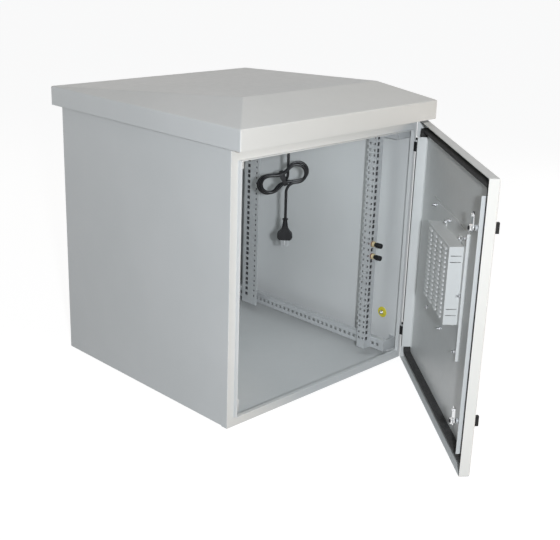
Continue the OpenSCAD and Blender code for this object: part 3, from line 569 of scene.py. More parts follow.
softened("body_shell", 2.0)
softened("front_frame", 1.0)
softened("rain_roof", 2.4, least_angle=8)
softened("roof_brackets", 1.4)
for kind, levels, length_axis in (("depth_rail_", ("lower", "upper"), ALONG_Y),
                                  ("rack_rail_", ("front", "rear"), ALONG_Z)):
    for level in levels:
        for side in ("left", "right"):
            mark_inside(softened(kind + level + "_" + side, 1.8), length_axis)
softened("vent_plate", 0.5, least_width=2)
softened("seal_angles", 0.5, least_width=1.5, segments=2)
print("body, frame, roof and rails have soft folds")

# %% [markdown]
# ## Door leaf: its layout
# The door is a shallow tray: a skin with four folded rims. Cutting holes with booleans leaves messy faces, so
# the skin is laid out as a grid of rectangles, and the cells where the louvres open and the lock barrels pass
# are left out. The rims are cut away at the hinges.

# %% Lay out the door
DOOR_X, DOOR_LOW, DOOR_HIGH = 299.0, 0.8, 616.8
SKIN_Y, RIM_Y, SHEET = -327.0, -305.0, 1.5
BOX_X, BOX_Z = -24.0, 344.8
LOUVRES, LOUVRE_PITCH, LOUVRE_LENGTH, LOUVRE_RISE, LOUVRE_OUT = 9, 15.0, 150.0, 10.0, 7.0
LOUVRE_SLOT, SLOT_LESS = 6.0, 2.0
LOCK_X, LOCK_Z, LOCK_HOLE = -257.0, (105.8, 511.8), 9.0
NOTCH_Y, NOTCHES = -314.0, ((62.8, 98.4), (537.8, 573.4))


def louvre_low(i):
    return BOX_Z + (i - (LOUVRES - 1) / 2) * LOUVRE_PITCH - LOUVRE_PITCH / 2


def openings():
    """The rectangles (x0, x1, z0, z1) that the skin leaves open."""
    half, hole = LOUVRE_LENGTH / 2 - SLOT_LESS, LOCK_HOLE / 2
    slots = [(BOX_X - half, BOX_X + half, louvre_low(i), louvre_low(i) + LOUVRE_SLOT) for i in range(LOUVRES)]
    return slots + [(LOCK_X - hole, LOCK_X + hole, z - hole, z + hole) for z in LOCK_Z]


def tray():
    """The middle surface of the skin and rims, with its openings left out."""
    work, holes, half, corner = bmesh.new(), openings(), SHEET / 2, {}
    xs = sorted({-DOOR_X + half, DOOR_X - half} | {x for o in holes for x in o[:2]})
    zs = sorted({DOOR_LOW + half, DOOR_HIGH - half} | {z for o in holes for z in o[2:]}
                | {z for n in NOTCHES for z in n})
    y0, y1 = SKIN_Y + half, RIM_Y

    def face(*places):
        keys = [tuple(round(c, 3) for c in place) for place in places]
        for key, place in zip(keys, places):
            if key not in corner:
                corner[key] = work.verts.new(mm(*place))
        work.faces.new([corner[key] for key in keys])

    for x0, x1 in zip(xs, xs[1:]):
        for z0, z1 in zip(zs, zs[1:]):
            if not any(o[0] <= x0 and x1 <= o[1] and o[2] <= z0 and z1 <= o[3] for o in holes):
                face((x0, y0, z0), (x1, y0, z0), (x1, y0, z1), (x0, y0, z1))
        for z in (zs[0], zs[-1]):
            face((x0, y0, z), (x0, y1, z), (x1, y1, z), (x1, y0, z))
    left, right = xs[0], xs[-1]
    for z0, z1 in zip(zs, zs[1:]):
        face((left, y0, z0), (left, y0, z1), (left, y1, z1), (left, y1, z0))
        face((right, y0, z0), (right, NOTCH_Y, z0), (right, NOTCH_Y, z1), (right, y0, z1))
        if not any(n[0] <= z0 and z1 <= n[1] for n in NOTCHES):
            face((right, NOTCH_Y, z0), (right, y1, z0), (right, y1, z1), (right, NOTCH_Y, z1))
    return work


print("door skin with", len(openings()), "openings")

# %% [markdown]
# ## Door leaf: its folds
# The surface is rounded where it folds, and thickness is added after that, so that both sides of the sheet
# follow the same fold.

# %% Fold the door
FOLD_RADIUS, FOLD_STEPS, FOLD_ANGLE = 2.2, 4, 60
leaf = tray()
bmesh.ops.recalc_face_normals(leaf, faces=leaf.faces)
folds = [e for e in leaf.edges if bent(e, FOLD_ANGLE)]
print("door tray with", len(folds), "folded edges")
round_off(leaf, folds, FOLD_RADIUS, FOLD_STEPS)
surface = bare("leaf_surface", leaf)
solid = surface.modifiers.new("thickness", "SOLIDIFY")
solid.thickness = SHEET * MM
solid.offset = 0
solid.use_even_offset = True
settled(surface)
thick = bmesh.new()
thick.from_mesh(surface.data)
bpy.data.objects.remove(surface)
piece("door_tray", thick, "door_paint", ["door_leaf"], place=DOOR, weighted=True)

# %% [markdown]
# ## A field of shapes
# Louvres, studs, fan blades and guard wires are the same shape many times over. A loop in Python could copy
# them, but a Geometry Nodes tree with named sizes can be reused and changed later by its inputs. A tree runs
# as a modifier; its result is kept as a plain mesh, because a finished piece may not depend on live nodes.

# %% Build the field tree
def new_tree(name, sockets):
    """An empty tree with named inputs, and what it is given."""
    tree = bpy.data.node_groups.new(name, "GeometryNodeTree")
    for label, kind in {"Geometry": "Geometry", **sockets, "Material": "Material"}.items():
        tree.interface.new_socket(label, in_out="INPUT", socket_type="NodeSocket" + kind)
    tree.interface.new_socket("Geometry", in_out="OUTPUT", socket_type="NodeSocketGeometry")
    return tree, tree.nodes.new("NodeGroupInput").outputs


def made(tree, kind, inputs=(), **settings):
    """The first output of a new geometry node."""
    return put(tree, "GeometryNode" + kind, inputs, **settings).outputs[0]


def reckon(tree, operation, first, second):
    return put(tree, "ShaderNodeMath", {0: first, 1: second}, operation=operation).outputs[0]


def end_tree(tree, given, geometry):
    """Realizes the copies and sets the material."""
    real = made(tree, "RealizeInstances", {"Geometry": geometry})
    painted = made(tree, "SetMaterial", {"Geometry": real, "Material": given["Material"]})
    put(tree, "NodeGroupOutput", {"Geometry": painted})
    return tree


def field_tree():
    """Copies one shape over an upright grid of columns and rows."""
    tree, given = new_tree("field_of_shapes", {"Columns": "Int", "Rows": "Int",
                                               "Pitch X": "Float", "Pitch Z": "Float"})
    sizes = {}
    for axis, count, pitch in (("X", "Columns", "Pitch X"), ("Y", "Rows", "Pitch Z")):
        gaps = reckon(tree, "SUBTRACT", given[count], 1)
        sizes["Size " + axis] = reckon(tree, "MULTIPLY", gaps, given[pitch])
        sizes["Vertices " + axis] = given[count]
    grid = made(tree, "MeshGrid", sizes)
    upright = made(tree, "Transform", {"Geometry": grid, "Rotation": (QUARTER, 0, 0)})
    copies = made(tree, "InstanceOnPoints", {"Points": upright, "Instance": given["Geometry"]})
    return end_tree(tree, given, copies)


def grown(obj, tree, slot, place=STILL, **sizes):
    """Runs a tree on an object and keeps the result as a plain mesh in its place."""
    modifier = obj.modifiers.new(tree.name, "NODES")
    modifier.node_group = tree
    sizes["Material"] = finishes[slot]
    for item in tree.interface.items_tree:
        if item.in_out == "INPUT" and item.name in sizes:
            modifier[item.identifier] = sizes[item.name]
    settled(obj)
    obj.data.transform(place)
    return obj


FIELD = field_tree()


def field(obj, slot, place, columns, rows, pitch_x, pitch_z):
    """Copies a shape over an upright grid; the pitches are in mm."""
    sizes = {"Columns": columns, "Rows": rows, "Pitch X": pitch_x * MM, "Pitch Z": pitch_z * MM}
    return grown(obj, FIELD, slot, place, **sizes)


print("tree:", FIELD.name)

# %% [markdown]
# ## Door louvres
# Nine long louvres let air into the filter. A louvre is pressed in one stroke: the punch cuts along the lower
# edge and stretches the rest into a hood, flush with the sheet at its top and at both ends, and open below,
# where rain drips off. The hood is one grid, bulged by a formula and then thickened; the field tree repeats it.

# %% Press the door's louvres
END_SHARPNESS = 7


def thin_sheet(point, rows, columns, sheet):
    """A sheet through a grid of points in mm, which a formula gives for each row and column."""
    work = bmesh.new()
    grid = [[work.verts.new(mm(*point(j / rows, i / columns))) for i in range(columns + 1)]
            for j in range(rows + 1)]
    for low, high in zip(grid, grid[1:]):
        for i in range(columns):
            work.faces.new((low[i], high[i], high[i + 1], low[i + 1]))
    bmesh.ops.recalc_face_normals(work, faces=work.faces)
    bmesh.ops.solidify(work, geom=work.faces[:], thickness=sheet * MM)
    return work


def hood(length, rise, out, columns, rows, sheet):
    def point(down, along):
        across = -math.cos(math.pi * along)
        depth = out * math.sin(down * QUARTER) * math.sqrt(max(0.0, 1 - abs(across) ** END_SHARPNESS))
        return across * length / 2, -depth, rise * (1 - down)
    return thin_sheet(point, rows, columns, sheet)


outer = bare("door_louvres", hood(LOUVRE_LENGTH, LOUVRE_RISE, LOUVRE_OUT, columns=20, rows=6, sheet=SHEET))
field(outer, "door_paint", DOOR @ shift(BOX_X, SKIN_Y + SHEET, louvre_low((LOUVRES - 1) // 2)),
      columns=1, rows=LOUVRES, pitch_x=0.0, pitch_z=LOUVRE_PITCH)
ready(outer, ["door_leaf"])
print(LOUVRES, "louvres on the door")

# %% [markdown]
# ## Foam seal
# A foamed seal is poured as a bead, so it has a flat foot, straight sides and a soft round top that the frame's
# lip presses into. It runs round the door in one piece. A curve with a bevel would turn the bead's foot at the
# corners, so each point of its profile becomes one rectangle with round corners, and the rectangles are joined.

# %% Lay the seal
SEAL_PROFILE = ((16, -325.5), (16, -314), (16.4, -311.6), (17.6, -309.9), (19.4, -309.3), (21.6, -309.3),
                (23.4, -309.9), (24.6, -311.6), (25, -314), (25, -325.5))  # inset from the door's edge, depth
SEAL_INNER, SEAL_CORNER, CORNER_STEPS = 25, 6.0, 6


def soft_rectangle(left, right, low, high, radius):
    """The outline of a rectangle with round corners."""
    x0, x1, y0, y1 = left + radius, right - radius, low + radius, high - radius
    points = []
    for corner, (x, y) in enumerate(((x1, y1), (x0, y1), (x0, y0), (x1, y0))):
        points += arc(radius, x, y, QUARTER * corner, QUARTER, CORNER_STEPS)
    return points


def skin(work, rings, closed=True):
    """Joins rings of points in order, and the last to the first; a ring may be one point."""
    for low, high in zip(rings, rings[1:] + (rings[:1] if closed else [])):
        for k in range(max(len(low), len(high))):
            corners = [ring[j % len(ring)] for ring, j in ((low, k), (low, k + 1), (high, k + 1), (high, k))]
            corners = list(dict.fromkeys(corners))
            if len(corners) > 2:
                work.faces.new(corners)
    return work


seal = bmesh.new()
rings = []
for inset, y in SEAL_PROFILE:
    wide = DOOR_X - inset
    outline = soft_rectangle(-wide, wide, DOOR_LOW + inset, DOOR_HIGH - inset, SEAL_CORNER + SEAL_INNER - inset)
    rings.append([seal.verts.new(mm(x, y, z)) for x, z in outline])
piece("foam_seal", skin(seal, rings), "seal_rubber", ["door_seal"], place=DOOR, sharp=50)
print("seal laid in", len(rings), "rings")

# %% [markdown]
# ## Louvred filter box
# Inside the door a shallow box holds the filter mat. Its face has four columns of small pressed louvres, and
# its tabs are screwed to the vent plate. The small hoods cover the upper half of each slot. The same tree as on
# the door makes them, turned round to look inward.

# %% Dress the filter box
BOX_FACE, BOX_COLUMNS, BOX_ROWS, BOX_PITCH_X, BOX_PITCH_Z = -292.0, 4, 16, 42.0, 10.0
HOOD_SINK, HOOD_DROP = 0.4, 1.6
softened("louvre_box", 1.2, least_length=25)
small = bare("box_louvres", hood(length=30, rise=5.4, out=3.4, columns=8, rows=3, sheet=0.7))
field(small, "door_paint", DOOR @ shift(BOX_X, BOX_FACE - HOOD_SINK, BOX_Z - HOOD_DROP) @ spin(math.pi, "Z"),
      BOX_COLUMNS, BOX_ROWS, BOX_PITCH_X, BOX_PITCH_Z)
ready(small, ["louvre_box"])
rounded("filter_mat", 2.5, 3)
print("filter box with", BOX_COLUMNS * BOX_ROWS, "small louvres")

# %% [markdown]
# ## Fasteners: their shapes
# There are studs with washers and nuts, pan-head screws with a cross recess, and hexagon bolts. They are turned
# parts, so each is a profile in millimetres that `lathe` turns about an axis. A radius may be a function of the
# angle, which gives hexagons and recesses; a primitive with a boolean would leave ragged edges instead.

# %% Turn the fasteners
CHAMFER_LIMIT, RECESS_ARM = 1.12, math.radians(16)
NUT_FACE, NUT_CHAMFER = 0.96, 0.06


def lathe(work, profile, place=(0, 0, 0), axis=TOP, sides=24, tube=False):
    """Turns (radius, height) points in mm about an axis through a place in metres."""
    at = Matrix.Translation(place) @ Vector(axis).to_track_quat("Z", "Y").to_matrix().to_4x4()
    rings = []
    for radius, height in profile:
        ring = []
        for k in range(sides if radius else 1):
            angle = 2 * math.pi * k / sides
            r = radius(angle) if callable(radius) else radius
            ring.append(work.verts.new(at @ mm(r * math.cos(angle), r * math.sin(angle), height)))
        rings.append(ring)
    return skin(work, rings, tube)


def hexagon(across):
    """The radius of a hexagon at an angle, cut off by a circle."""
    def radius(angle):
        turn = (angle + math.pi / 6) % (math.pi / 3) - math.pi / 6
        return min(across / 2 / math.cos(turn), across / 2 * CHAMFER_LIMIT)
    return radius


def cross(long, short):
    """The radius of a cross-shaped recess at an angle."""
    def radius(angle):
        turn = (angle + math.pi / 4) % QUARTER - math.pi / 4
        return long if abs(turn) < RECESS_ARM else short
    return radius


def nut_profile(across, low, high):
    """A chamfered nut between two heights."""
    six, face, chamfer = hexagon(across), across / 2 * NUT_FACE, across * NUT_CHAMFER
    return [(0, low), (face, low), (six, low + chamfer), (six, high - chamfer), (face, high)]


def stud():
    work = lathe(bmesh.new(), [(0, 2.5), (4.8, 2.5), (4.8, 3.1), (0, 3.1)])
    return bare("stud", lathe(work, nut_profile(8, 3.1, 6.6) + [(2.5, 6.6), (2.5, 11.4), (1.9, 12), (0, 12)]))


def pan_screw(head, height, shaft, length):
    deep = height * 0.35
    shank = [(0, -length), (shaft * 0.4, -length), (shaft / 2, -length * 0.9), (shaft / 2, 0)]
    dome = [(head / 2, 0), (head / 2, height * 0.35), (head * 0.44, height * 0.72), (head * 0.34, height * 0.94)]
    recess = [(cross(head * 0.30, head * 0.10), height), (cross(head * 0.24, head * 0.07), deep), (0, deep)]
    return bare("pan_screw", lathe(bmesh.new(), shank + dome + recess))


def hex_bolt(head, grip):
    """Head below zero, nut above the clamped sheets."""
    six = hexagon(head)
    work = lathe(bmesh.new(), [(0, -4), (head / 2 * 0.9, -4), (six, -3.4), (six, 0), (0, 0)])
    thread = [(3, grip + 5), (3, grip + 6.4), (2.4, grip + 7), (0, grip + 7)]
    return bare("hex_bolt", lathe(work, nut_profile(head, grip, grip + 5) + thread))


print("studs, screws and bolts can be turned")

# %% [markdown]
# ## Fasteners: their places
# Eight studs hold the vent plate and four screws the filter box, bolts hold the roof and the rails, and long
# screws hold the fans. The places come from the CAD model's hole pattern. A second tree puts one shape on every
# place and turns it by an attribute, so that each kind of fastener is one mesh.

# %% Place the fasteners
VENT_Z, STUD_X, STUD_Z, INNER_Y = 326.8, 130.0, 125.0, -325.5
TAB_X, TAB_Z, TAB_Y = 60.0, 93.0, -321.8
ROOF_BOLT_X, ROOF_BOLT_Y, CEILING = 170.0, (-134.5, 252.5), 638.5
BOLT_Y, BOLT_Z, BOLT_X = (-224.0, 208.0), (35.0, 583.0), 248.0
FAN_X, FAN_Y, FAN_LOW, FAN_HOLE, GUARD_WIRE = 110.0, 90.0, 613.5, 52.5, 1.5


def places_tree():
    """Puts one shape on every vertex, turned by the vertex's attribute named turn."""
    tree, given = new_tree("shape_at_places", {"Shape": "Object"})
    shape = put(tree, "GeometryNodeObjectInfo", {"Object": given["Shape"]}).outputs["Geometry"]
    turn = made(tree, "InputNamedAttribute", {"Name": "turn"}, data_type="FLOAT_VECTOR")
    copies = made(tree, "InstanceOnPoints", {"Points": given["Geometry"], "Instance": shape, "Rotation": turn})
    return end_tree(tree, given, copies)


PLACES = places_tree()


def at_places(name, shape, places, replaced, place=STILL):
    """Puts copies of a bright shape at (place, axis) pairs; the shape's own axis is +Z."""
    mesh = bpy.data.meshes.new(name)
    mesh.from_pydata([p for p, _ in places], [], [])
    turns = mesh.attributes.new("turn", "FLOAT_VECTOR", "POINT")
    for item, (_, axis) in zip(turns.data, places):
        item.vector = Vector(axis).to_track_quat("Z", "Y").to_euler()
    obj = grown(added(name, mesh), PLACES, "bright_zinc", place, Shape=shape)
    bpy.data.objects.remove(shape)
    ready(obj, [replaced])
    print(name + ":", len(places))


vent_grid = [(x, z) for x in (-1, 0, 1) for z in (-1, 0, 1) if x or z]
stud_places = [(mm(x * STUD_X, INNER_Y, VENT_Z + z * STUD_Z), BACK) for x, z in vent_grid]
tab_places = [(mm(BOX_X + x * TAB_X, TAB_Y, BOX_Z + z * TAB_Z), BACK) for x in SIDES for z in SIDES]
roof_places = [(mm(x * ROOF_BOLT_X, y, CEILING), TOP) for x in SIDES for y in ROOF_BOLT_Y]
rail_places = [(mm(x * BOLT_X, y, z), (x, 0, 0)) for x in SIDES for y in BOLT_Y for z in BOLT_Z]
fan_places = [(mm(s * FAN_X + x * FAN_HOLE, FAN_Y + y * FAN_HOLE, FAN_LOW - GUARD_WIRE), DOWN)
              for s in SIDES for x in SIDES for y in SIDES]
at_places("vent_nuts", stud(), stud_places, "vent_studs", DOOR)
at_places("tab_screws", pan_screw(8, 2.5, 5, 2.2), tab_places, "box_screws", DOOR)
at_places("roof_hex_bolts", hex_bolt(10, 3), roof_places, "roof_bolts")
at_places("rail_hex_bolts", hex_bolt(10, 4), rail_places, "rail_bolts")
at_places("guard_screws", pan_screw(8, 2.5, 4, 25), fan_places, "fan_screws")

# %% [markdown]
# ## Locks
# Each lock is a quarter-turn latch: a round plate and a threaded barrel on the door, a black knob outside, and a
# chromed cam inside that swings behind the frame's lip. The knob's grip narrows towards its end, and the cam is
# a stamped tongue with a small pressed boss. Round parts are turned and flat ones raised from an outline, each
# as its own piece, because knob, cam and nut turn and the plate does not.

# %% Build the locks
PLATE = [(4.05, -330), (13.2, -330), (14, -329.2), (14, -327), (6, -327), (6, -299.8), (5.4, -299), (4.05, -299)]
KNOB = [(0, -286), (3.2, -286), (4, -286.8), (4, -330.3), (11.4, -330.3), (12, -330.9), (12, -335.6),
        (11.4, -336.7), (10, -337.2), (0, -337.2)]
GRIP, GRIP_Y, GRIP_HEIGHT = [(-4, -11), (4, -11), (3.4, 11), (-3.4, 11)], -336.6, 9.6
BOSS, BOSS_RISE = [(0, -0.2), (3.5, -0.2), (3.5, 2.2), (2.7, 3), (0, 3)], 25
CAM_Y, CAM_SHEET, CAM_WIDTH, CAM_REACH = -295.5, 2.5, 14, 32
HUB_STEPS, TIP_STEPS, NECK = 14, 10, math.asin(0.6)
FLAT_TO_DOOR = Matrix(((1, 0, 0, 0), (0, 0, 1, 0), (0, 1, 0, 0), (0, 0, 0, 1)))
CAM = (arc(CAM_WIDTH / 2, 0, CAM_REACH - CAM_WIDTH / 2, 0, math.pi, TIP_STEPS)
       + arc(CAM_WIDTH / 2 + 2, 0, 0, math.pi - NECK, math.pi + 2 * NECK, HUB_STEPS))


def prism(work, outline, height, place=STILL, radius=0.0, segments=2):
    """Raises a flat (x, y) outline in mm along +Z and rounds its edges."""
    low, high = ([work.verts.new(place @ mm(x, y, z)) for x, y in outline] for z in (0, height))
    faces = [work.faces.new(low[::-1]), work.faces.new(high)]
    for i in range(len(outline)):
        n = (i + 1) % len(outline)
        faces.append(work.faces.new((low[i], low[n], high[n], high[i])))
    round_off(work, list({e for f in faces for e in f.edges if bent(e, 20)}), radius, segments)
    return work


def turned_nut(work, across, low, high, bore, spot):
    """A nut with its bore, along the lock's axis."""
    return lathe(work, nut_profile(across, low, high)[1:] + [(bore, high), (bore, low)], spot, BACK, tube=True)


for level, z in zip(("lower", "upper"), LOCK_Z):
    spot = mm(LOCK_X, 0, z)
    at_spot = Matrix.Translation(spot)
    barrel = turned_nut(lathe(bmesh.new(), PLATE, spot, BACK, 40, tube=True), 16, -325.5, -320.6, 6.02, spot)
    piece("lock_plate_" + level, barrel, "rail_zinc", ["lock_barrel_" + level], place=DOOR)
    knob = lathe(bmesh.new(), KNOB, spot, BACK, 40)
    prism(knob, GRIP, GRIP_HEIGHT, at_spot @ shift(0, GRIP_Y, 0) @ spin(QUARTER, "X"), 1.4, 3)
    stands_for("lock_knob_" + level, "lock_grip_" + level, knob, place=DOOR)
    cam = prism(bmesh.new(), CAM, CAM_SHEET, at_spot @ shift(0, CAM_Y, 0) @ FLAT_TO_DOOR, 0.5)
    lathe(cam, BOSS, spot + mm(0, CAM_Y + CAM_SHEET, BOSS_RISE), BACK, 20)
    stands_for("lock_cam_" + level, "lock_tongue_" + level, cam, place=DOOR)
    nut = turned_nut(bmesh.new(), 13, -293, -288, 4.05, spot)
    stands_for("lock_nut_" + level, "lock_hex_" + level, nut, place=DOOR)
print("locks:", len(LOCK_Z))

# %% [markdown]
# ## Hinges
# The hinge blocks are black die castings on the stile, the ears belong to the door, and a headed pin joins them.
# They are small, so a fine radius on every edge is enough, and only the pin is turned anew.

# %% Round the hinges
HINGE_Z = (63.8, 538.8)
PIN = [(0, 1), (2.5, 1), (3, 1.5), (3, 28.3), (3.6, 28.3), (4, 28.7), (4, 32.4), (3.4, 33.2), (0, 33.2)]
for level, z in zip(("lower", "upper"), HINGE_Z):
    rounded("hinge_block_" + level, 0.5)
    rounded("hinge_ear_" + level, 0.35)
    stands_for("hinge_pin_" + level, "hinge_axle_" + level, lathe(bmesh.new(), PIN, PIVOT + mm(0, 0, z)))
print("hinges:", len(HINGE_Z))

# %% [markdown]
# ## Fans: a blade and its ring
# Two axial fans pull warm air up through the top panel into the roof space. A fan blade is thin, cambered and
# twisted, steep at the hub and flat at the tip. A formula gives each point its turn and height, which is more
# even than bending a flat plate with modifiers. A third tree repeats the blade round the wheel.

# %% Shape a blade
BLADES, HUB, TIP, BLADE_SHEET = 7, 19.6, 54.6, 1.2
HUB_PITCH, TWIST, HUB_CHORD, CHORD_GAIN, CAMBER, SWEEP = 46, 18, 20, 5, 2.2, 0.16
SPAN_STEPS, CHORD_STEPS = 6, 5


def blade():
    def point(out, along):
        radius, pitch = HUB + (TIP - HUB) * out, math.radians(HUB_PITCH - TWIST * out)
        s = along - 0.5
        reach = (HUB_CHORD + CHORD_GAIN * out) * s
        turn = reach * math.cos(pitch) / radius + SWEEP * out
        height = reach * math.sin(pitch) + CAMBER * (1 - 4 * s * s)
        return radius * math.cos(turn), radius * math.sin(turn), height
    return thin_sheet(point, SPAN_STEPS, CHORD_STEPS, BLADE_SHEET)


def heap(tree, count):
    """A number of points in one spot."""
    return made(tree, "MeshLine", {"Count": count, "Offset": (0, 0, 0)})


def ring_tree():
    """Copies one shape round the Z axis."""
    tree, given = new_tree("ring_of_shapes", {"Count": "Int"})
    share = reckon(tree, "DIVIDE", made(tree, "InputIndex"), given["Count"])
    turn = put(tree, "ShaderNodeCombineXYZ", {"Z": reckon(tree, "MULTIPLY", share, 2 * math.pi)}).outputs[0]
    points = heap(tree, given["Count"])
    copies = made(tree, "InstanceOnPoints", {"Points": points, "Instance": given["Geometry"], "Rotation": turn})
    return end_tree(tree, given, copies)


RING = ring_tree()
print("tree:", RING.name, "for", BLADES, "blades")

# %% [markdown]
# ## Fans: wheel, housing and guard
# One blade repeated seven times round a rounded hub makes the wheel. The housing keeps its CAD bore and gets
# rounded corners. Below it is a guard of welded wire. Its rings differ only in size, so a last tree scales one
# ring and sweeps the wire along all of them, and turned spokes with screw eyes carry them.

# %% Build the fans
WHEEL_RISE, RING_STEPS, WIRE_STEPS = 13, 72, 8
HUB_PROFILE = [(0, 1), (2.5, 1), (2.5, 4.3), (18.4, 4.3), (20, 5.6), (20, 21.4), (19.2, 22.8), (17, 23.3),
               (0, 23.3)]
FIRST_RING, RING_PITCH, GUARD_RINGS = 16.75, 13, 4
SPOKE = [(0, 16), (GUARD_WIRE / 2, 16), (GUARD_WIRE / 2, 70.2), (0, 70.2)]
EYE = [(2.3, -1.4), (4.6, -1.4), (5, -1), (5, -0.4), (4.6, 0), (2.3, 0)]


def wires_tree():
    """Sweeps a round wire along rings of growing size."""
    tree, given = new_tree("guard_wires", {"First": "Float", "Pitch": "Float", "Count": "Int", "Wire": "Float"})
    steps = reckon(tree, "MULTIPLY", made(tree, "InputIndex"), given["Pitch"])
    size = reckon(tree, "ADD", steps, given["First"])
    ring = made(tree, "CurvePrimitiveCircle", {"Resolution": RING_STEPS, "Radius": 1})
    points = heap(tree, given["Count"])
    copies = made(tree, "InstanceOnPoints", {"Points": points, "Instance": ring, "Scale": size})
    lines = made(tree, "RealizeInstances", {"Geometry": copies})
    wire = reckon(tree, "DIVIDE", given["Wire"], 2)
    section = made(tree, "CurvePrimitiveCircle", {"Resolution": WIRE_STEPS, "Radius": wire})
    return end_tree(tree, given, made(tree, "CurveToMesh", {"Curve": lines, "Profile Curve": section}))


WIRES = wires_tree()
for side, sign in zip(("left", "right"), SIDES):
    softened("fan_housing_" + side, 4.0, least_length=20)
    centre = mm(sign * FAN_X, FAN_Y, FAN_LOW)
    wheel = bare("fan_blades_" + side, blade())
    grown(wheel, RING, "black_plastic", Matrix.Translation(centre + mm(0, 0, WHEEL_RISE)), Count=BLADES)
    ready(wheel, ["fan_rotor_" + side])
    hub = lathe(bmesh.new(), HUB_PROFILE, centre, sides=40)
    piece("fan_hub_" + side, hub, "black_plastic", ["fan_rotor_" + side])
    guard_place = centre + mm(0, 0, -GUARD_WIRE / 2)
    guard = bare("fan_rings_" + side, bmesh.new())
    grown(guard, WIRES, "bright_zinc", Matrix.Translation(guard_place), First=FIRST_RING * MM,
          Pitch=RING_PITCH * MM, Count=GUARD_RINGS, Wire=GUARD_WIRE * MM)
    ready(guard, ["fan_guard_" + side])
    spokes = bmesh.new()
    for k in range(4):
        angle = math.pi / 4 + k * QUARTER
        heading = Vector((math.cos(angle), math.sin(angle), 0))
        lathe(spokes, SPOKE, guard_place, heading, 10)
        lathe(spokes, EYE, centre + heading * (FAN_HOLE * math.sqrt(2) * MM), tube=True)
    piece("fan_spokes_" + side, spokes, "bright_zinc", ["fan_guard_" + side])
print("two fans with", BLADES, "blades each")

# %% [markdown]
# ## Terminals
# Two screw terminals stand on the right front rail. Each has a black knurled cap, a cream sleeve, a red-brown
# foot on the rail and a threaded tail behind it. They are turned; the knurl is a radius that waves with the
# angle, so no separate teeth are needed.

# %% Turn the terminals
POST_X, POST_Y, POST_Z, POST_R, RAIL_Y = 232.55, -270.0, (270.9, 302.65), 6.5, -241.0
KNURL_DEPTH, KNURLS = 0.5, 12


def knurl(angle):
    return POST_R - KNURL_DEPTH * (0.5 + 0.5 * math.cos(angle * KNURLS))


CAP = [(0, 0.8), (3.2, 0.8), (3.4, 0), (5.6, 0), (6.2, 0.7), (knurl, 1.6), (knurl, 14), (6.2, 14.8), (5.2, 15.6),
       (5.2, 19.6), (0, 19.6)]
SLEEVE = [(0, -9.2), (6.0, -9.2), (6.5, -8.7), (6.5, -6), (7.1, -6), (7.5, -5.6), (7.5, -3.2), (0, -3.2)]
FOOT = [(0, -3.2), (7.0, -3.2), (7.4, -2.8), (7.4, -0.3), (7.1, 0)]
THREAD = [(4.4, 0), (4.4, 2.6), (3.9, 3.1), (4.4, 3.6), (3.9, 4.6), (4.4, 5.2), (3.9, 6.2), (4.4, 6.8), (4.0, 8.6),
          (3.4, 9), (0, 9)]
for node, name, profile, y, sides in (("terminal_posts", "terminal_caps", CAP, POST_Y, 72),
                                      ("terminal_collars", "terminal_rings", SLEEVE, RAIL_Y, 40),
                                      ("terminal_tails", "terminal_threads", FOOT + THREAD, RAIL_Y, 24)):
    work = bmesh.new()
    for z in POST_Z:
        lathe(work, profile, mm(POST_X, y, z), BACK, sides)
    stands_for(node, name, work)
print("terminals:", len(POST_Z))

# %% [markdown]
# ## Earth point
# Lower down, a yellow disc marks the earth stud on the wall; it stays bare. Disc and stud are turned on one
# axis, so that the nut sits in the middle of the mark.

# %% Turn the earth point
EARTH = mm(297.3, -236, 104)
MARK = [(3.3, 0), (14, 0), (14, 0.6), (13.5, 1), (3.3, 1)]
STUD = [(0, 0), (3, 0), (3, 1), (4.7, 1), (hexagon(10), 1.5), (hexagon(10), 4.4), (4.7, 5), (3, 5), (3, 8.5),
        (2.5, 9), (0, 9)]
piece("earth_mark", lathe(bmesh.new(), MARK, EARTH, LEFT, 48, tube=True), "yellow", ["earth_disc"])
stands_for("earth_stud", "earth_bolt", lathe(bmesh.new(), STUD, EARTH, LEFT))
print("earth point at", [round(c, 3) for c in EARTH])

# %% [markdown]
# ## Gland
# The gland holds the lead in the top panel and ends in a ribbed sleeve, so that the lead cannot kink there. Its
# ribs widen step by step, and a loop writes them into one profile for the lathe.

# %% Turn the gland
RIBS, RIB_PITCH, RIB_GAIN = 6, 4.2, 0.48
COLLAR = [(7.5, 26.5), (10.6, 26.5), (11, 26.9), (11, 32.1), (10.6, 32.5), (0, 32.5)]
sleeve = [(0, 0), (4.5, 0)]
for k in range(RIBS):
    at, wide = 1.5 + RIB_PITCH * k, 4.6 + RIB_GAIN * k
    sleeve += [(wide, at), (wide + 0.5, at + 0.4), (wide + 0.5, at + 2.4)]
    sleeve += [(wide - 0.6, at + 2.8), (wide - 0.6, at + 4.0)]
stands_for("cord_gland", "gland_body", lathe(bmesh.new(), sleeve + COLLAR, CORD_EXIT, sides=40))
print("gland with", RIBS, "ribs")

# %% [markdown]
# ## Plug
# The plug repeats the gland's idea: a ring where the lead enters, a ribbed neck, and sloping shoulders that
# widen to the face with its three flat pins. The neck is turned, the shoulders are one half outline that is
# mirrored and raised, and the pins are raised on their own, because they are metal.

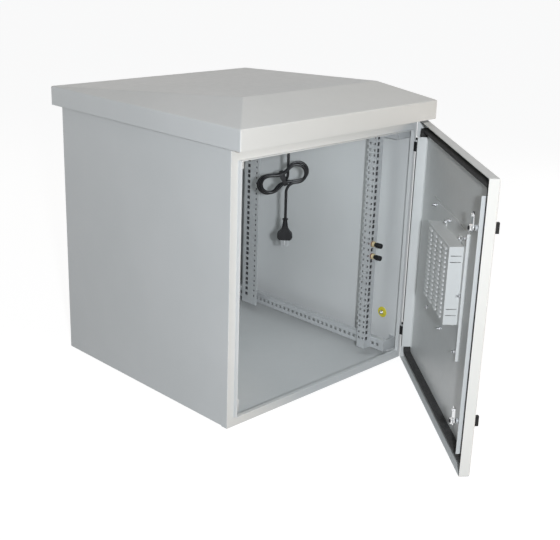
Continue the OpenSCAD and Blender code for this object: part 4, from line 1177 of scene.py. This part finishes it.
# %% Mould the plug
PLUG = Matrix.Translation(PLUG_TOP) @ spin(-HANK_TURN, "Z")
NECK_RIBS, NECK_PITCH = 4, 3.4
SHOULDER = [(6.5, 0), (8.5, -7), (12.5, -13), (17.5, -18.5), (19, -22), (19, -26.5), (16.8, -31), (13, -34)]
PLUG_DEPTH, PLUG_EDGE, SHOULDER_Z = 24, 2.4, -20
PINS = ((-7, -3, -30), (7, -3, 30), (0, 7, 90))  # place across, place in depth, turn
PIN_WIDE, PIN_THICK, PIN_LENGTH, PIN_TIP = 3.15, 0.8, 17, -71
PIN_CORNERS = [(x * PIN_WIDE, y * PIN_THICK) for x, y in ((-1, -1), (1, -1), (1, 1), (-1, 1))]
neck = [(0, 0), (6.6, 0), (7.4, -0.6), (7.4, -2.2), (6.6, -2.8), (4.9, -3)]
for k in range(NECK_RIBS):
    at = -4.0 - NECK_PITCH * k
    neck += [(4.6 + 0.35 * k, at), (5.4 + 0.5 * k, at - 0.4), (5.5 + 0.5 * k, at - 2.2), (4.7 + 0.4 * k, at - 2.6)]
plug = lathe(bmesh.new(), neck + [(7.2, -18.5), (7.6, -21), (0, -21)], PLUG_TOP, sides=36)
prism(plug, SHOULDER + [(-x, y) for x, y in SHOULDER[::-1]], PLUG_DEPTH,
      PLUG @ shift(0, PLUG_DEPTH / 2, SHOULDER_Z) @ spin(QUARTER, "X"), PLUG_EDGE, 4)
plug_piece = stands_for("plug_body", "plug_shell", plug, sharp=40)
pins = bmesh.new()
for x, y, turn in PINS:
    prism(pins, PIN_CORNERS, PIN_LENGTH, PLUG @ shift(x, y, PIN_TIP) @ spin(math.radians(turn), "Z"), 0.35)
pins_piece = piece("plug_blades", pins, "rail_zinc", ["plug_pins"])
print("plug with", len(PINS), "pins")

# %% [markdown]
# ## Tie
# A strap with a small buckle holds the hank at its waist. It is a flat band round all lanes, so its inner and
# outer outlines are joined as rings, and its edges are rounded.

# %% Close the tie
HANK = Matrix.Translation(HANK_MID) @ spin(-HANK_TURN, "Z") @ spin(-HANK_TILT, "Y")
STRAP_HALF, STRAP_CORNER = 5, 5
INNER, OUTER = (soft_rectangle(-wide, wide, -tall, tall, STRAP_CORNER)
                for wide, tall in ((15.0, 16.0), (16.4, 17.4)))
BUCKLE = [(-6, -4.5), (6, -4.5), (6, 4.5), (-6, 4.5)]
BUCKLE_Y, BUCKLE_RISE, BUCKLE_THICK = -16.2, 4, 2.6
tie = bmesh.new()
skin(tie, [[tie.verts.new(HANK @ mm(x * STRAP_HALF, y, z)) for y, z in outline]
           for x, outline in ((-1, INNER), (-1, OUTER), (1, OUTER), (1, INNER))])
round_off(tie, [e for e in tie.edges if bent(e, 60)], 0.4, 2)
prism(tie, BUCKLE, BUCKLE_THICK, HANK @ shift(0, BUCKLE_Y, BUCKLE_RISE) @ spin(QUARTER, "X"), 0.7)
tie_piece = stands_for("cord_tie", "hank_strap", tie)
print("tie", 2 * STRAP_HALF, "mm wide")
